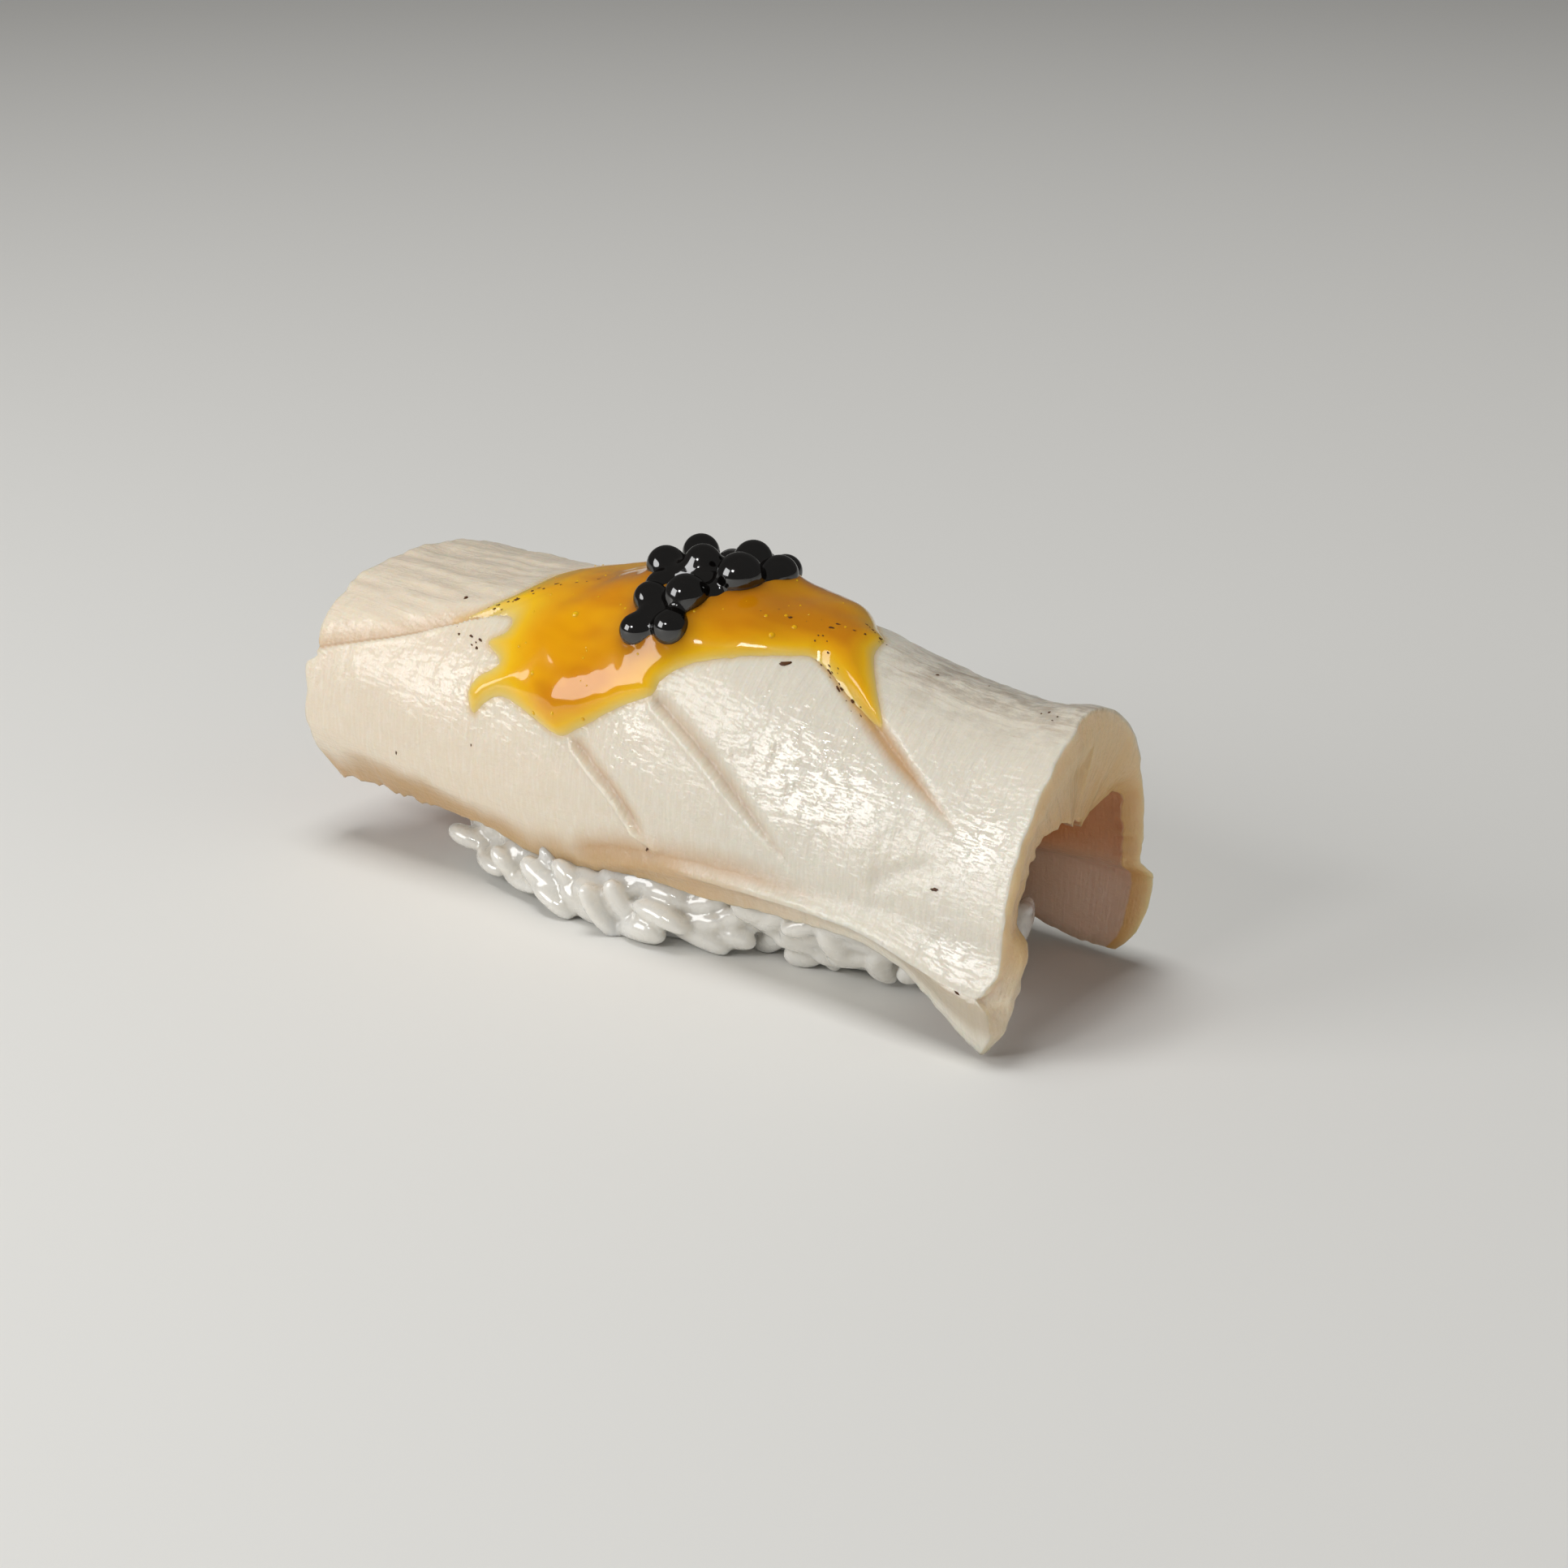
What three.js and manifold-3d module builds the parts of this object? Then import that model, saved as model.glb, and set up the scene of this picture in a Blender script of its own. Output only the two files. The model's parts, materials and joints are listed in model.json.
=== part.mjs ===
// Butterfish nigiri: a long slice of fish draped over a pressed block of rice, with a pool of amber
// glaze and a cluster of black roe on its crown. Millimetres, +Z up. X runs along the slice to its
// open near end, and -Y is the front, the side that is shown.

import * as THREE from 'three';
import { mergeVertices } from 'three/addons/utils/BufferGeometryUtils.js';
import Module from 'manifold-3d';

const wasm = await Module();
wasm.setup();

// Clearance between neighbouring pieces, and the step for directions along a surface
const GAP = 0.3;
const NUDGE = 0.01;

// Stations along the slice at which its section is given
const FAR_X = -38.1;
const MIDDLE_X = -1;
const NEAR_X = 38.4;

// Crown line of the slice: its height, the hump over the rice and the lip of the near end
const CROWN = {
  height: 24.8,
  hump: 4.1,
  humpX: 2.9,
  humpFarSpread: 20,
  humpNearSpread: 18,
  lip: 1,
  lipLength: 6,
  y: [0.6, 0.6, 1.6],
  thickness: [6, 6.2, 7.2],
};

// Shares of each half of the section: the arch down to its base, then the skirt down to the crease
const ARCH_SHARE = 0.7;
const CREASE_SHARE = 0.86;

// Each half of the section. Lists give the value at the far, middle and near station.
const FRONT = {
  away: -1,
  halfWidth: [15.4, 12.8, 10.6],
  roundness: [2.6, 2.2, 1.5],
  baseHeight: [11.5, 10.5, 10],
  creaseHalfWidth: [14.7, 12.6, 12.7],
  crease: { height: 7.8, farRise: 1.2, nearDrop: 2.1 },
  hemHalfWidth: [12.6, 12, 11.6],
  hem: { height: 5.5, dip: 1.9, dipX: -9, dipSpread: 6, nearDrop: 5.2, nearSpan: [25, 39] },
  wall: [4.4, 4.2, 4.2],
  creaseWall: [3, 3, 3.8],
  hemWall: [1.8, 1.8, 1.1],
  farSlant: 1.2,
  nearSlant: 0.9,
};
const BACK = {
  away: 1,
  halfWidth: [15.4, 13.6, 11.4],
  roundness: [2.5, 2.2, 2.1],
  baseHeight: [12, 10.5, 10.5],
  creaseHalfWidth: [14.8, 13.8, 13.6],
  crease: { height: 8.2, farRise: 1, nearDrop: 0.4 },
  hemHalfWidth: [13.6, 13.2, 12.2],
  hem: { height: 5.3, dip: 1.2, dipX: 5, dipSpread: 7, nearDrop: 4.6, nearSpan: [2, 31] },
  wall: [4, 3.8, 3.8],
  creaseWall: [3, 3, 3.2],
  hemWall: [2.2, 2.2, 2.2],
  farSlant: 2,
  nearSlant: -1.2,
};
const FAR_RISE_SPAN = [-15, -33];
const NEAR_CREASE_SPAN = [25, 38];
const NEAR_HEM_POWER = 1.6;
const HEM_LIFT_INSIDE = 0.4;

// Ends of the slice at the crown, and how late in each half the ends start to slant
const FAR_END = -39.1;
const NEAR_END = 38.2;
const SLANT_POWER = 3;
const SLICE_SEGMENTS = { along: 26, across: 30 };

// Knife scores on the slice: points as [x, share of the half-section], front shares positive
const SCORE_WIDTH = 1.3;
const SCORE_DEPTH = 1.5;
const SCORE_CLEAR = 0.6;
const SCORE_END_DEPTH = 0.3;
const SCORE_END_WIDTH = 0.65;
const SCORE_STEPS = 8;
const SCORES = [
  [[-41, 0.53], [-28.4, 0.394], [-14, 0.15]],
  [[-6.8, 0.5], [-0.5, 0.636], [4, 0.8]],
  [[1.4, 0.344], [9, 0.459], [20, 0.704]],
  [[20.5, 0.192], [25.2, 0.275], [31.6, 0.402]],
  [[-24, -0.3], [-17, -0.46], [-9, -0.68]],
  [[2, -0.34], [10, -0.5], [19, -0.72]],
];

// Rice block: its ends, how its sides bulge below the hem and how its near end leans back
const RICE = {
  farEnd: -25,
  nearEnd: 28.5,
  archDepth: 1.16,
  archTurn: 1 / 2,
  bulgeTurn: 2 / 3,
  footTurn: 3 / 4,
  bulgeHeight: 2.4,
  footInset: 1.6,
  underFloor: 0.5,
  endShrink: 0.3,
  endShrinkPower: 6,
  endDome: 2,
  nearLean: 0.42,
  leanFrom: 4,
  centreHeight: 8,
  floorSpan: 160,
};
// Half-widths of the block at its far end, middle and near end, and where they go over into each other
const RICE_BULGE = {
  front: { far: 10.2, middle: 13.8, near: 7.7 },
  back: { far: 12.6, middle: 12.6, near: 9 },
  farSpan: [-8, -22],
  nearSpan: [0, 16],
};
const RICE_SEGMENTS = { along: 18, up: 6, across: 8 };

// Rice grains that show: half-lengths, and how many along and across each showing side and end
const GRAIN = { length: 3.4, width: 1.6, thickness: 1.4, lift: 0.7, vary: 0.14, sides: 5, rings: 4 };
const GRAIN_COLUMNS = 10;
const GRAIN_TURNS = [0.62, 0.72];
const GRAIN_TURN_JITTER = 0.06;
const GRAIN_HEART = { along: 0.9, across: 0.4, up: 0.6 };
const END_GRAIN_COLUMNS = 3;
const END_GRAIN_REACHES = [0.45, 0.85];
const END_GRAIN_TURNS = 0.7;
const GRAIN_SEED = 20417;

// Glaze pool: its front and back edges from the far tip to the near tongue, as [x, share]
const GLAZE_THICKNESS = 0.8;
const GLAZE_RIM = 0.2;
const GLAZE_SEGMENTS = { around: 20, along: 26 };
const GLAZE_FRONT_EDGE = [
  [-23, 0.16], [-20.5, 0.3], [-17.5, 0.46], [-12, 0.49], [-7.6, 0.51], [-1.5, 0.4],
  [4.3, 0.26], [12, 0.17], [17.5, 0.19], [23, 0.22],
];
const GLAZE_BACK_EDGE = [
  [-23, 0.16], [-20.2, -0.02], [-14, -0.2], [-6, -0.34], [3, -0.36], [9.5, -0.22],
  [15, -0.06], [19.5, 0.08], [23, 0.22],
];

// Roe pearls on the glaze as [x, share, radius], and the pad of packed roe that joins them
const ROE_FACETS = { around: 9, rings: 6 };
const ROE_PAD = { x: 0.4, halfLength: 6.6, share: 0.01, halfShare: 0.22, thickness: 1.2, segments: 10 };
const ROE = [
  [-2.9, 0.078, 1.75], [0.3, 0.055, 1.6], [5, 0.068, 1.95], [6.7, 0.015, 1.5], [2.6, 0.152, 1.8],
  [-0.8, 0.172, 1.4], [-0.2, 0.235, 1.45], [2.8, 0.216, 1.55], [-4.6, -0.03, 1.6], [1.5, -0.05, 1.6],
  [-1.7, -0.1, 1.6], [0.6, -0.15, 1.6], [-5, -0.12, 1.5], [-2.2, -0.19, 1.45],
];

// Colours and finishes
const FINISH = {
  rice: { color: 0xf1efe8, roughness: 0.35 },
  fish: { color: 0xded5c6, roughness: 0.4 },
  glaze: { color: 0xcf9420, roughness: 0.12 },
  caviar: { color: 0x0b0b0d, roughness: 0.12 },
};

const mix = (a, b, share) => a + (b - a) * share;
const clamp01 = (value) => Math.min(Math.max(value, 0), 1);
const bump = (x, centre, spread) => Math.exp(-(((x - centre) / spread) ** 2));

function smooth([from, to], x) {
  const share = clamp01((x - from) / (to - from));
  return share * share * (3 - 2 * share);
}

function alongSlice([far, middle, near], x) {
  if (x < MIDDLE_X) return mix(far, middle, smooth([FAR_X, MIDDLE_X], x));
  return mix(middle, near, smooth([MIDDLE_X, NEAR_X], x));
}

function seededRandom(seed) {
  let state = seed;
  return () => {
    state = (Math.imul(state, 1664525) + 1013904223) >>> 0;
    return state / 2 ** 32;
  };
}

// Draped slice of fish

function crownHeight(x) {
  const spread = x < CROWN.humpX ? CROWN.humpFarSpread : CROWN.humpNearSpread;
  const lip = CROWN.lip * smooth([NEAR_X - CROWN.lipLength, NEAR_X], x);
  return CROWN.height + CROWN.hump * bump(x, CROWN.humpX, spread) + lip;
}

function creaseHeight({ crease }, x) {
  const rise = crease.farRise * smooth(FAR_RISE_SPAN, x);
  return crease.height + rise - crease.nearDrop * smooth(NEAR_CREASE_SPAN, x);
}

function hemHeight({ hem }, x) {
  const [from, to] = hem.nearSpan;
  const drop = hem.nearDrop * clamp01((x - from) / (to - from)) ** NEAR_HEM_POWER;
  return hem.height - hem.dip * bump(x, hem.dipX, hem.dipSpread) - drop;
}

// A point of the slice. The share runs from the back hem at -1 over the crown at 0 to the front hem
// at 1, and the depth from the outside at 0 to the inside at 1.
function slicePoint(x, share, depth) {
  const half = share < 0 ? BACK : FRONT;
  const down = Math.abs(share);
  const crownY = alongSlice(CROWN.y, x) * half.away;
  const base = alongSlice(half.baseHeight, x);
  const rise = crownHeight(x) - depth * alongSlice(CROWN.thickness, x) - base;
  const halfWidth = alongSlice(half.halfWidth, x) - depth * alongSlice(half.wall, x);
  const power = alongSlice(half.roundness, x);
  const angle = (clamp01(down / ARCH_SHARE) * Math.PI) / 2;
  const outward = Math.sin(angle) / (halfWidth - crownY);
  const upward = Math.max(Math.cos(angle), 0) / rise;
  const radius = (outward ** power + upward ** power) ** (-1 / power);

  const skirt = clamp01((down - ARCH_SHARE) / (CREASE_SHARE - ARCH_SHARE));
  const strip = clamp01((down - CREASE_SHARE) / (1 - CREASE_SHARE));
  const creaseY = alongSlice(half.creaseHalfWidth, x) - depth * alongSlice(half.creaseWall, x);
  const creaseZ = creaseHeight(half, x);
  const hemY = alongSlice(half.hemHalfWidth, x) - depth * alongSlice(half.hemWall, x);
  const hemZ = hemHeight(half, x) + depth * HEM_LIFT_INSIDE;
  const y = crownY + radius * Math.sin(angle) + (creaseY - halfWidth) * skirt ** 2 + (hemY - creaseY) * strip;
  const z = base + radius * Math.cos(angle) + (creaseZ - base) * skirt + (hemZ - creaseZ) * strip;
  return new THREE.Vector3(x, y * half.away, z);
}

function sliceEnds(share) {
  const half = share < 0 ? BACK : FRONT;
  const slant = Math.abs(share) ** SLANT_POWER;
  return [FAR_END + half.farSlant * slant, NEAR_END + half.nearSlant * slant];
}

// Outward direction of the slice's outer face
function sliceNormal(x, share) {
  const alongX = slicePoint(x + NUDGE, share, 0).sub(slicePoint(x - NUDGE, share, 0));
  const alongShare = slicePoint(x, share + NUDGE, 0).sub(slicePoint(x, share - NUDGE, 0));
  return alongShare.cross(alongX).normalize();
}

function overSlice(x, share, lift) {
  return slicePoint(x, share, 0).addScaledVector(sliceNormal(x, share), lift);
}

// Shapes and booleans

function remap(geometry, place) {
  const position = geometry.attributes.position;
  const vertex = new THREE.Vector3();
  for (let i = 0; i < position.count; i++) {
    const placed = place(vertex.fromBufferAttribute(position, i));
    position.setXYZ(i, placed.x, placed.y, placed.z);
  }
  return geometry;
}

function solidFrom(geometry) {
  geometry.deleteAttribute('normal');
  geometry.deleteAttribute('uv');
  const merged = mergeVertices(geometry);
  return new wasm.Manifold(new wasm.Mesh({
    numProp: 3,
    vertProperties: new Float32Array(merged.attributes.position.array),
    triVerts: new Uint32Array(merged.index.array),
  }));
}

function largestBody(solid) {
  return solid.decompose().reduce((best, body) => (body.volume() > best.volume() ? body : best));
}

function meshFrom(name, solid) {
  const { vertProperties, triVerts } = solid.getMesh();
  const geometry = new THREE.BufferGeometry();
  geometry.setAttribute('position', new THREE.BufferAttribute(vertProperties, 3));
  geometry.setIndex(new THREE.BufferAttribute(triVerts, 1));
  geometry.computeVertexNormals();
  const mesh = new THREE.Mesh(geometry, new THREE.MeshStandardMaterial({ ...FINISH[name], metalness: 0 }));
  mesh.name = name;
  return mesh;
}

// The slice between two depths, grown by a margin at its ends and hems where it cuts other pieces
function sliceSolid(outerDepth, innerDepth, margin) {
  const { along, across } = SLICE_SEGMENTS;
  const slab = new THREE.BoxGeometry(1, 1, 1, along, across, 1);
  return solidFrom(remap(slab, ({ x, y, z }) => {
    const share = -2 * y;
    const [far, near] = sliceEnds(share);
    const point = slicePoint(mix(far - margin, near + margin, x + 0.5), share, z > 0 ? outerDepth : innerDepth);
    if (Math.abs(share) === 1) point.z -= margin;
    return point;
  }));
}

// A wedge that follows one knife score across the slice and cuts it open
function scoreBlade(points) {
  const path = new THREE.SplineCurve(points.map(([x, share]) => new THREE.Vector2(x, share)));
  const wedge = new THREE.Shape([
    new THREE.Vector2(0, -SCORE_DEPTH),
    new THREE.Vector2(SCORE_WIDTH, SCORE_CLEAR),
    new THREE.Vector2(-SCORE_WIDTH, SCORE_CLEAR),
  ]);
  const blade = new THREE.ExtrudeGeometry(wedge, { depth: 1, steps: SCORE_STEPS, bevelEnabled: false });
  return solidFrom(remap(blade, ({ x, y, z }) => {
    const here = path.getPoint(z);
    const before = path.getPoint(Math.max(z - NUDGE, 0));
    const after = path.getPoint(Math.min(z + NUDGE, 1));
    const ahead = slicePoint(after.x, after.y, 0).sub(slicePoint(before.x, before.y, 0)).normalize();
    const normal = sliceNormal(here.x, here.y);
    const across = normal.clone().cross(ahead);
    const swell = Math.sin(Math.PI * z);
    const lift = y < 0 ? y * mix(SCORE_END_DEPTH, 1, swell) : y;
    const halfWidth = (x / 2) * mix(SCORE_END_WIDTH, 1, swell);
    return overSlice(here.x, here.y, lift).addScaledVector(across, halfWidth);
  }));
}

function buildFish() {
  const slice = sliceSolid(0, 1, 0);
  const scored = SCORES.reduce((solid, points) => solid.subtract(scoreBlade(points)), slice);
  return largestBody(scored);
}

// Block of rice with the grains that show

function riceBulge(x, away) {
  const { far, middle, near } = away < 0 ? RICE_BULGE.front : RICE_BULGE.back;
  const toNear = mix(middle, near, smooth(RICE_BULGE.nearSpan, x));
  return toNear + (far - middle) * smooth(RICE_BULGE.farSpan, x);
}

// One turn round the block's section: 0 at the top, -1 and 1 at the middle of its underside
function riceRing(x, turn) {
  const away = turn < 0 ? 1 : -1;
  const around = Math.abs(turn);
  const arch = slicePoint(x, Math.sign(turn) * clamp01(around / RICE.archTurn), RICE.archDepth);
  const bulge = new THREE.Vector3(x, riceBulge(x, away) * away, RICE.bulgeHeight);
  const foot = new THREE.Vector3(x, (riceBulge(x, away) - RICE.footInset) * away, -RICE.underFloor);
  const under = new THREE.Vector3(x, 0, -RICE.underFloor);
  const side = clamp01((around - RICE.archTurn) / (RICE.bulgeTurn - RICE.archTurn));
  const low = clamp01((around - RICE.bulgeTurn) / (RICE.footTurn - RICE.bulgeTurn));
  const inward = clamp01((around - RICE.footTurn) / (1 - RICE.footTurn));
  return arch.lerp(bulge, side).lerp(foot, low).lerp(under, inward);
}

// A point of the block: along from -1 to 1, the turn round the section and how far out from its axis
function ricePoint(along, turn, out) {
  const middle = (RICE.nearEnd + RICE.farEnd) / 2;
  const halfLength = (RICE.nearEnd - RICE.farEnd) / 2;
  const x = middle + halfLength * along;
  const axis = new THREE.Vector3(x, 0, RICE.centreHeight);
  const shrink = 1 - RICE.endShrink * Math.abs(along) ** RICE.endShrinkPower;
  const point = axis.lerp(riceRing(x, turn), out * shrink);
  const dome = RICE.endDome * (1 - out * out) * Math.sign(along) * (Math.abs(along) === 1 ? 1 : 0);
  const lean = RICE.nearLean * Math.max(point.z - RICE.leanFrom, 0) * clamp01(along);
  point.x += dome - lean;
  return point;
}

// How far round its outline a point of a square lies, from 0 at the top to 1 or -1 at the bottom
function squareTurn(y, z, out) {
  if (out === 0) return 0;
  const sideways = Math.abs(y) / out;
  const upward = z / out;
  const overOrUnder = upward > 0 ? sideways : 4 - sideways;
  const quarters = sideways < 1 ? overOrUnder : 2 - upward;
  return ((y > 0 ? -1 : 1) * quarters) / 4;
}

function riceCore() {
  const { along, across, up } = RICE_SEGMENTS;
  const block = new THREE.BoxGeometry(2, 2, 2, along, across, up);
  return solidFrom(remap(block, ({ x, y, z }) => {
    const out = Math.max(Math.abs(y), Math.abs(z));
    return ricePoint(x, squareTurn(y, z, out), out);
  }));
}

// A grain lying on the block at a given place, turned in its surface and sunk into it. It faces away
// from a heart point inside the block.
function riceGrain(along, turn, out, random) {
  const here = ricePoint(along, turn, out);
  const heartZ = mix(RICE.centreHeight, here.z, GRAIN_HEART.up);
  const heart = new THREE.Vector3(here.x * GRAIN_HEART.along, here.y * GRAIN_HEART.across, heartZ);
  const outward = here.clone().sub(heart).normalize();
  const spin = new THREE.Vector3(random() - 0.5, random() - 0.5, random() - 0.5);
  const lengthwise = spin.addScaledVector(outward, -spin.dot(outward)).normalize();
  const basis = new THREE.Matrix4().makeBasis(lengthwise, outward.clone().cross(lengthwise), outward);
  const vary = () => 1 + GRAIN.vary * (2 * random() - 1);
  const grain = new THREE.SphereGeometry(1, GRAIN.sides, GRAIN.rings);
  grain.rotateZ(Math.PI / 2);
  grain.scale(GRAIN.length * vary(), GRAIN.width * vary(), GRAIN.thickness * vary());
  grain.applyMatrix4(basis);
  here.addScaledVector(outward, GRAIN.lift);
  grain.translate(here.x, here.y, here.z);
  return solidFrom(grain);
}

function riceGrains() {
  const random = seededRandom(GRAIN_SEED);
  const jitter = () => random() - 0.5;
  const grains = [];
  for (const side of [1, -1]) {
    for (const [row, turn] of GRAIN_TURNS.entries()) {
      for (let column = 0; column < GRAIN_COLUMNS; column++) {
        const along = (2 * (column + (1 + 2 * row) / 4 + jitter() / 2)) / GRAIN_COLUMNS - 1;
        grains.push(riceGrain(along, side * (turn + GRAIN_TURN_JITTER * jitter()), 1, random));
      }
    }
  }
  for (const end of [1, -1]) {
    for (const out of END_GRAIN_REACHES) {
      for (let column = 0; column < END_GRAIN_COLUMNS; column++) {
        const turn = END_GRAIN_TURNS * ((2 * (column + 0.5 + jitter() / 2)) / END_GRAIN_COLUMNS - 1);
        grains.push(riceGrain(end, turn, out, random));
      }
    }
  }
  return grains;
}

// The grains give way to the slice and stop at the floor, and loose scraps are dropped
function buildRice() {
  const outsideDepth = -1;
  const insideDepth = 1 + GAP / FRONT.wall[1];
  const fishRoom = sliceSolid(outsideDepth, insideDepth, GAP);
  const span = RICE.floorSpan;
  const aboveFloor = solidFrom(new THREE.BoxGeometry(span, span, span).translate(0, 0, span / 2));
  const heap = riceGrains().reduce((solid, grain) => solid.add(grain), riceCore());
  return largestBody(largestBody(heap).intersect(aboveFloor).subtract(fishRoom));
}

// A pad that lies on the slice: place gives [x, share] for the pad's own along and across
function padSolid(segments, bottomLift, thickness, place) {
  const ball = new THREE.SphereGeometry(1, segments.around, segments.along);
  return solidFrom(remap(ball, (vertex) => {
    const polar = Math.acos(THREE.MathUtils.clamp(vertex.y, -1, 1));
    const around = Math.atan2(vertex.z, vertex.x);
    const [x, share] = place(polar / Math.PI, Math.abs(around) / Math.PI);
    const underneath = Math.sin(around) * Math.sin(polar) < -NUDGE;
    const rim = underneath ? 0 : GLAZE_RIM;
    const upward = Math.max(Math.sin(around), 0);
    const dome = (thickness - GLAZE_RIM) * Math.sqrt(upward) * Math.sin(polar);
    return overSlice(x, share, bottomLift + rim + dome);
  }));
}

function buildGlaze() {
  const edge = (points) => new THREE.SplineCurve(points.map(([x, share]) => new THREE.Vector2(x, share)));
  const front = edge(GLAZE_FRONT_EDGE);
  const back = edge(GLAZE_BACK_EDGE);
  return padSolid(GLAZE_SEGMENTS, GAP, GLAZE_THICKNESS, (along, across) => {
    const { x, y } = back.getPoint(along).lerp(front.getPoint(along), across);
    return [x, y];
  });
}

// Cluster of roe on the glaze

function buildCaviar() {
  const seat = GAP + GLAZE_THICKNESS + GAP;
  const segments = { around: ROE_PAD.segments, along: ROE_PAD.segments };
  const pad = padSolid(segments, seat, ROE_PAD.thickness, (along, across) => {
    const width = ROE_PAD.halfShare * Math.sqrt(Math.sin(Math.PI * along));
    return [
      ROE_PAD.x + ROE_PAD.halfLength * (2 * along - 1),
      ROE_PAD.share + width * (2 * across - 1),
    ];
  });
  const cluster = ROE.reduce((solid, [x, share, radius]) => {
    const centre = overSlice(x, share, seat + radius);
    const pearl = new THREE.SphereGeometry(radius, ROE_FACETS.around, ROE_FACETS.rings);
    pearl.rotateX(Math.PI / 2).translate(centre.x, centre.y, centre.z);
    return solid.add(solidFrom(pearl));
  }, pad);
  return largestBody(cluster);
}

const nigiri = new THREE.Group();
nigiri.add(
  meshFrom('rice', buildRice()),
  meshFrom('fish', buildFish()),
  meshFrom('glaze', buildGlaze()),
  meshFrom('caviar', buildCaviar()),
);

export default nigiri;
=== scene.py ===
# Butterfish nigiri as it looks: a scored slice of fish, sticky rice, amber glaze and black roe, made
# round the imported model. Sizes are millimetres in its frame, and every mesh is made in metres.

import json
import math
from types import SimpleNamespace as Sizes

import bpy
import numpy as np
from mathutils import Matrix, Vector

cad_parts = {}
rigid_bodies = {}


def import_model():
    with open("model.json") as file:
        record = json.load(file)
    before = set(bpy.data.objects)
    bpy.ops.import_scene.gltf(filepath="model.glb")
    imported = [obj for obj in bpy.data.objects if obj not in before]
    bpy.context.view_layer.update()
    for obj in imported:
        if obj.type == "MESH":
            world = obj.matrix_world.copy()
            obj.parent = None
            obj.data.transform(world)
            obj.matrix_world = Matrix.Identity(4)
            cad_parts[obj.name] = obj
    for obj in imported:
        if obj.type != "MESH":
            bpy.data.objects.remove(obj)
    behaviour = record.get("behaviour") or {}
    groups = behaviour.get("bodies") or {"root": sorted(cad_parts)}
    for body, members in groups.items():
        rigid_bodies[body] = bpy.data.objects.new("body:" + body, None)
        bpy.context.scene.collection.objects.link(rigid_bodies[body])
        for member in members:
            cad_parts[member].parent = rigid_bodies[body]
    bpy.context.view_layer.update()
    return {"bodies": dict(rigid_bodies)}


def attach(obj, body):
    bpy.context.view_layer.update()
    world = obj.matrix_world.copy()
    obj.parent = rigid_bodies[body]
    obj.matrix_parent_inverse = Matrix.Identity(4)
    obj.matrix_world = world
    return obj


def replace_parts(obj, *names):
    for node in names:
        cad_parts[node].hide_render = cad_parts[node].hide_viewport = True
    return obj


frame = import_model()
(BODY,) = frame["bodies"]

# A millimetre in metres, a small step, and the cells along each side of the table that noise is made from
MM = 0.001
NUDGE = 0.01
NOISE_CELLS = 32

# The slice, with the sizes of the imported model. Triples are for the far, middle and near station.
FAR_X = -38.1
MIDDLE_X = -1.0
NEAR_X = 38.4
CROWN = Sizes(
    height=24.8, hump=4.1, hump_x=2.9, hump_far_spread=20.0, hump_near_spread=18.0, lip=1.0, lip_length=6.0,
    y=(0.6, 0.6, 1.6), thickness=(6.0, 6.2, 7.2),
)
ARCH_SHARE = 0.7
CREASE_SHARE = 0.86
FRONT = Sizes(
    away=-1,
    half_width=(15.4, 12.8, 10.6),
    roundness=(2.6, 2.2, 1.5),
    base_height=(11.5, 10.5, 10.0),
    crease_half_width=(14.7, 12.6, 12.7),
    crease=Sizes(height=7.8, far_rise=1.2, near_drop=2.1),
    hem_half_width=(12.6, 12.0, 11.6),
    hem=Sizes(height=5.5, dip=1.9, dip_x=-9.0, dip_spread=6.0, near_drop=5.2, near_span=(25.0, 39.0)),
    wall=(4.4, 4.2, 4.2),
    crease_wall=(3.0, 3.0, 3.8),
    hem_wall=(1.8, 1.8, 1.1),
    far_slant=1.2,
    near_slant=0.9,
)
BACK = Sizes(
    away=1,
    half_width=(15.4, 13.6, 11.4),
    roundness=(2.5, 2.2, 2.1),
    base_height=(12.0, 10.5, 10.5),
    crease_half_width=(14.8, 13.8, 13.6),
    crease=Sizes(height=8.2, far_rise=1.0, near_drop=0.4),
    hem_half_width=(13.6, 13.2, 12.2),
    hem=Sizes(height=5.3, dip=1.2, dip_x=5.0, dip_spread=7.0, near_drop=4.6, near_span=(2.0, 31.0)),
    wall=(4.0, 3.8, 3.8),
    crease_wall=(3.0, 3.0, 3.2),
    hem_wall=(2.2, 2.2, 2.2),
    far_slant=2.0,
    near_slant=-1.2,
)
FAR_RISE_SPAN = (-15.0, -33.0)
NEAR_CREASE_SPAN = (25.0, 38.0)
NEAR_HEM_POWER = 1.6
HEM_LIFT_INSIDE = 0.4
FAR_END = -39.1
NEAR_END = 38.2
SLANT_POWER = 3

# Length of the slice's section for one unit of share, which turns shares into millimetres
SECTION_LENGTH = 35.0

# Cells of the flesh along it and across its back and front, the depths of the rows across its ends, and the
# depth from which those rows are coarse
FLESH_CELLS = Sizes(along=280, back=80, front=130)
FLESH_DEPTHS = np.array([0.0, 0.04, 0.12, 0.27, 0.5, 0.73, 0.88, 0.96, 1.0])
FINE_DEPTH = 0.5

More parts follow.
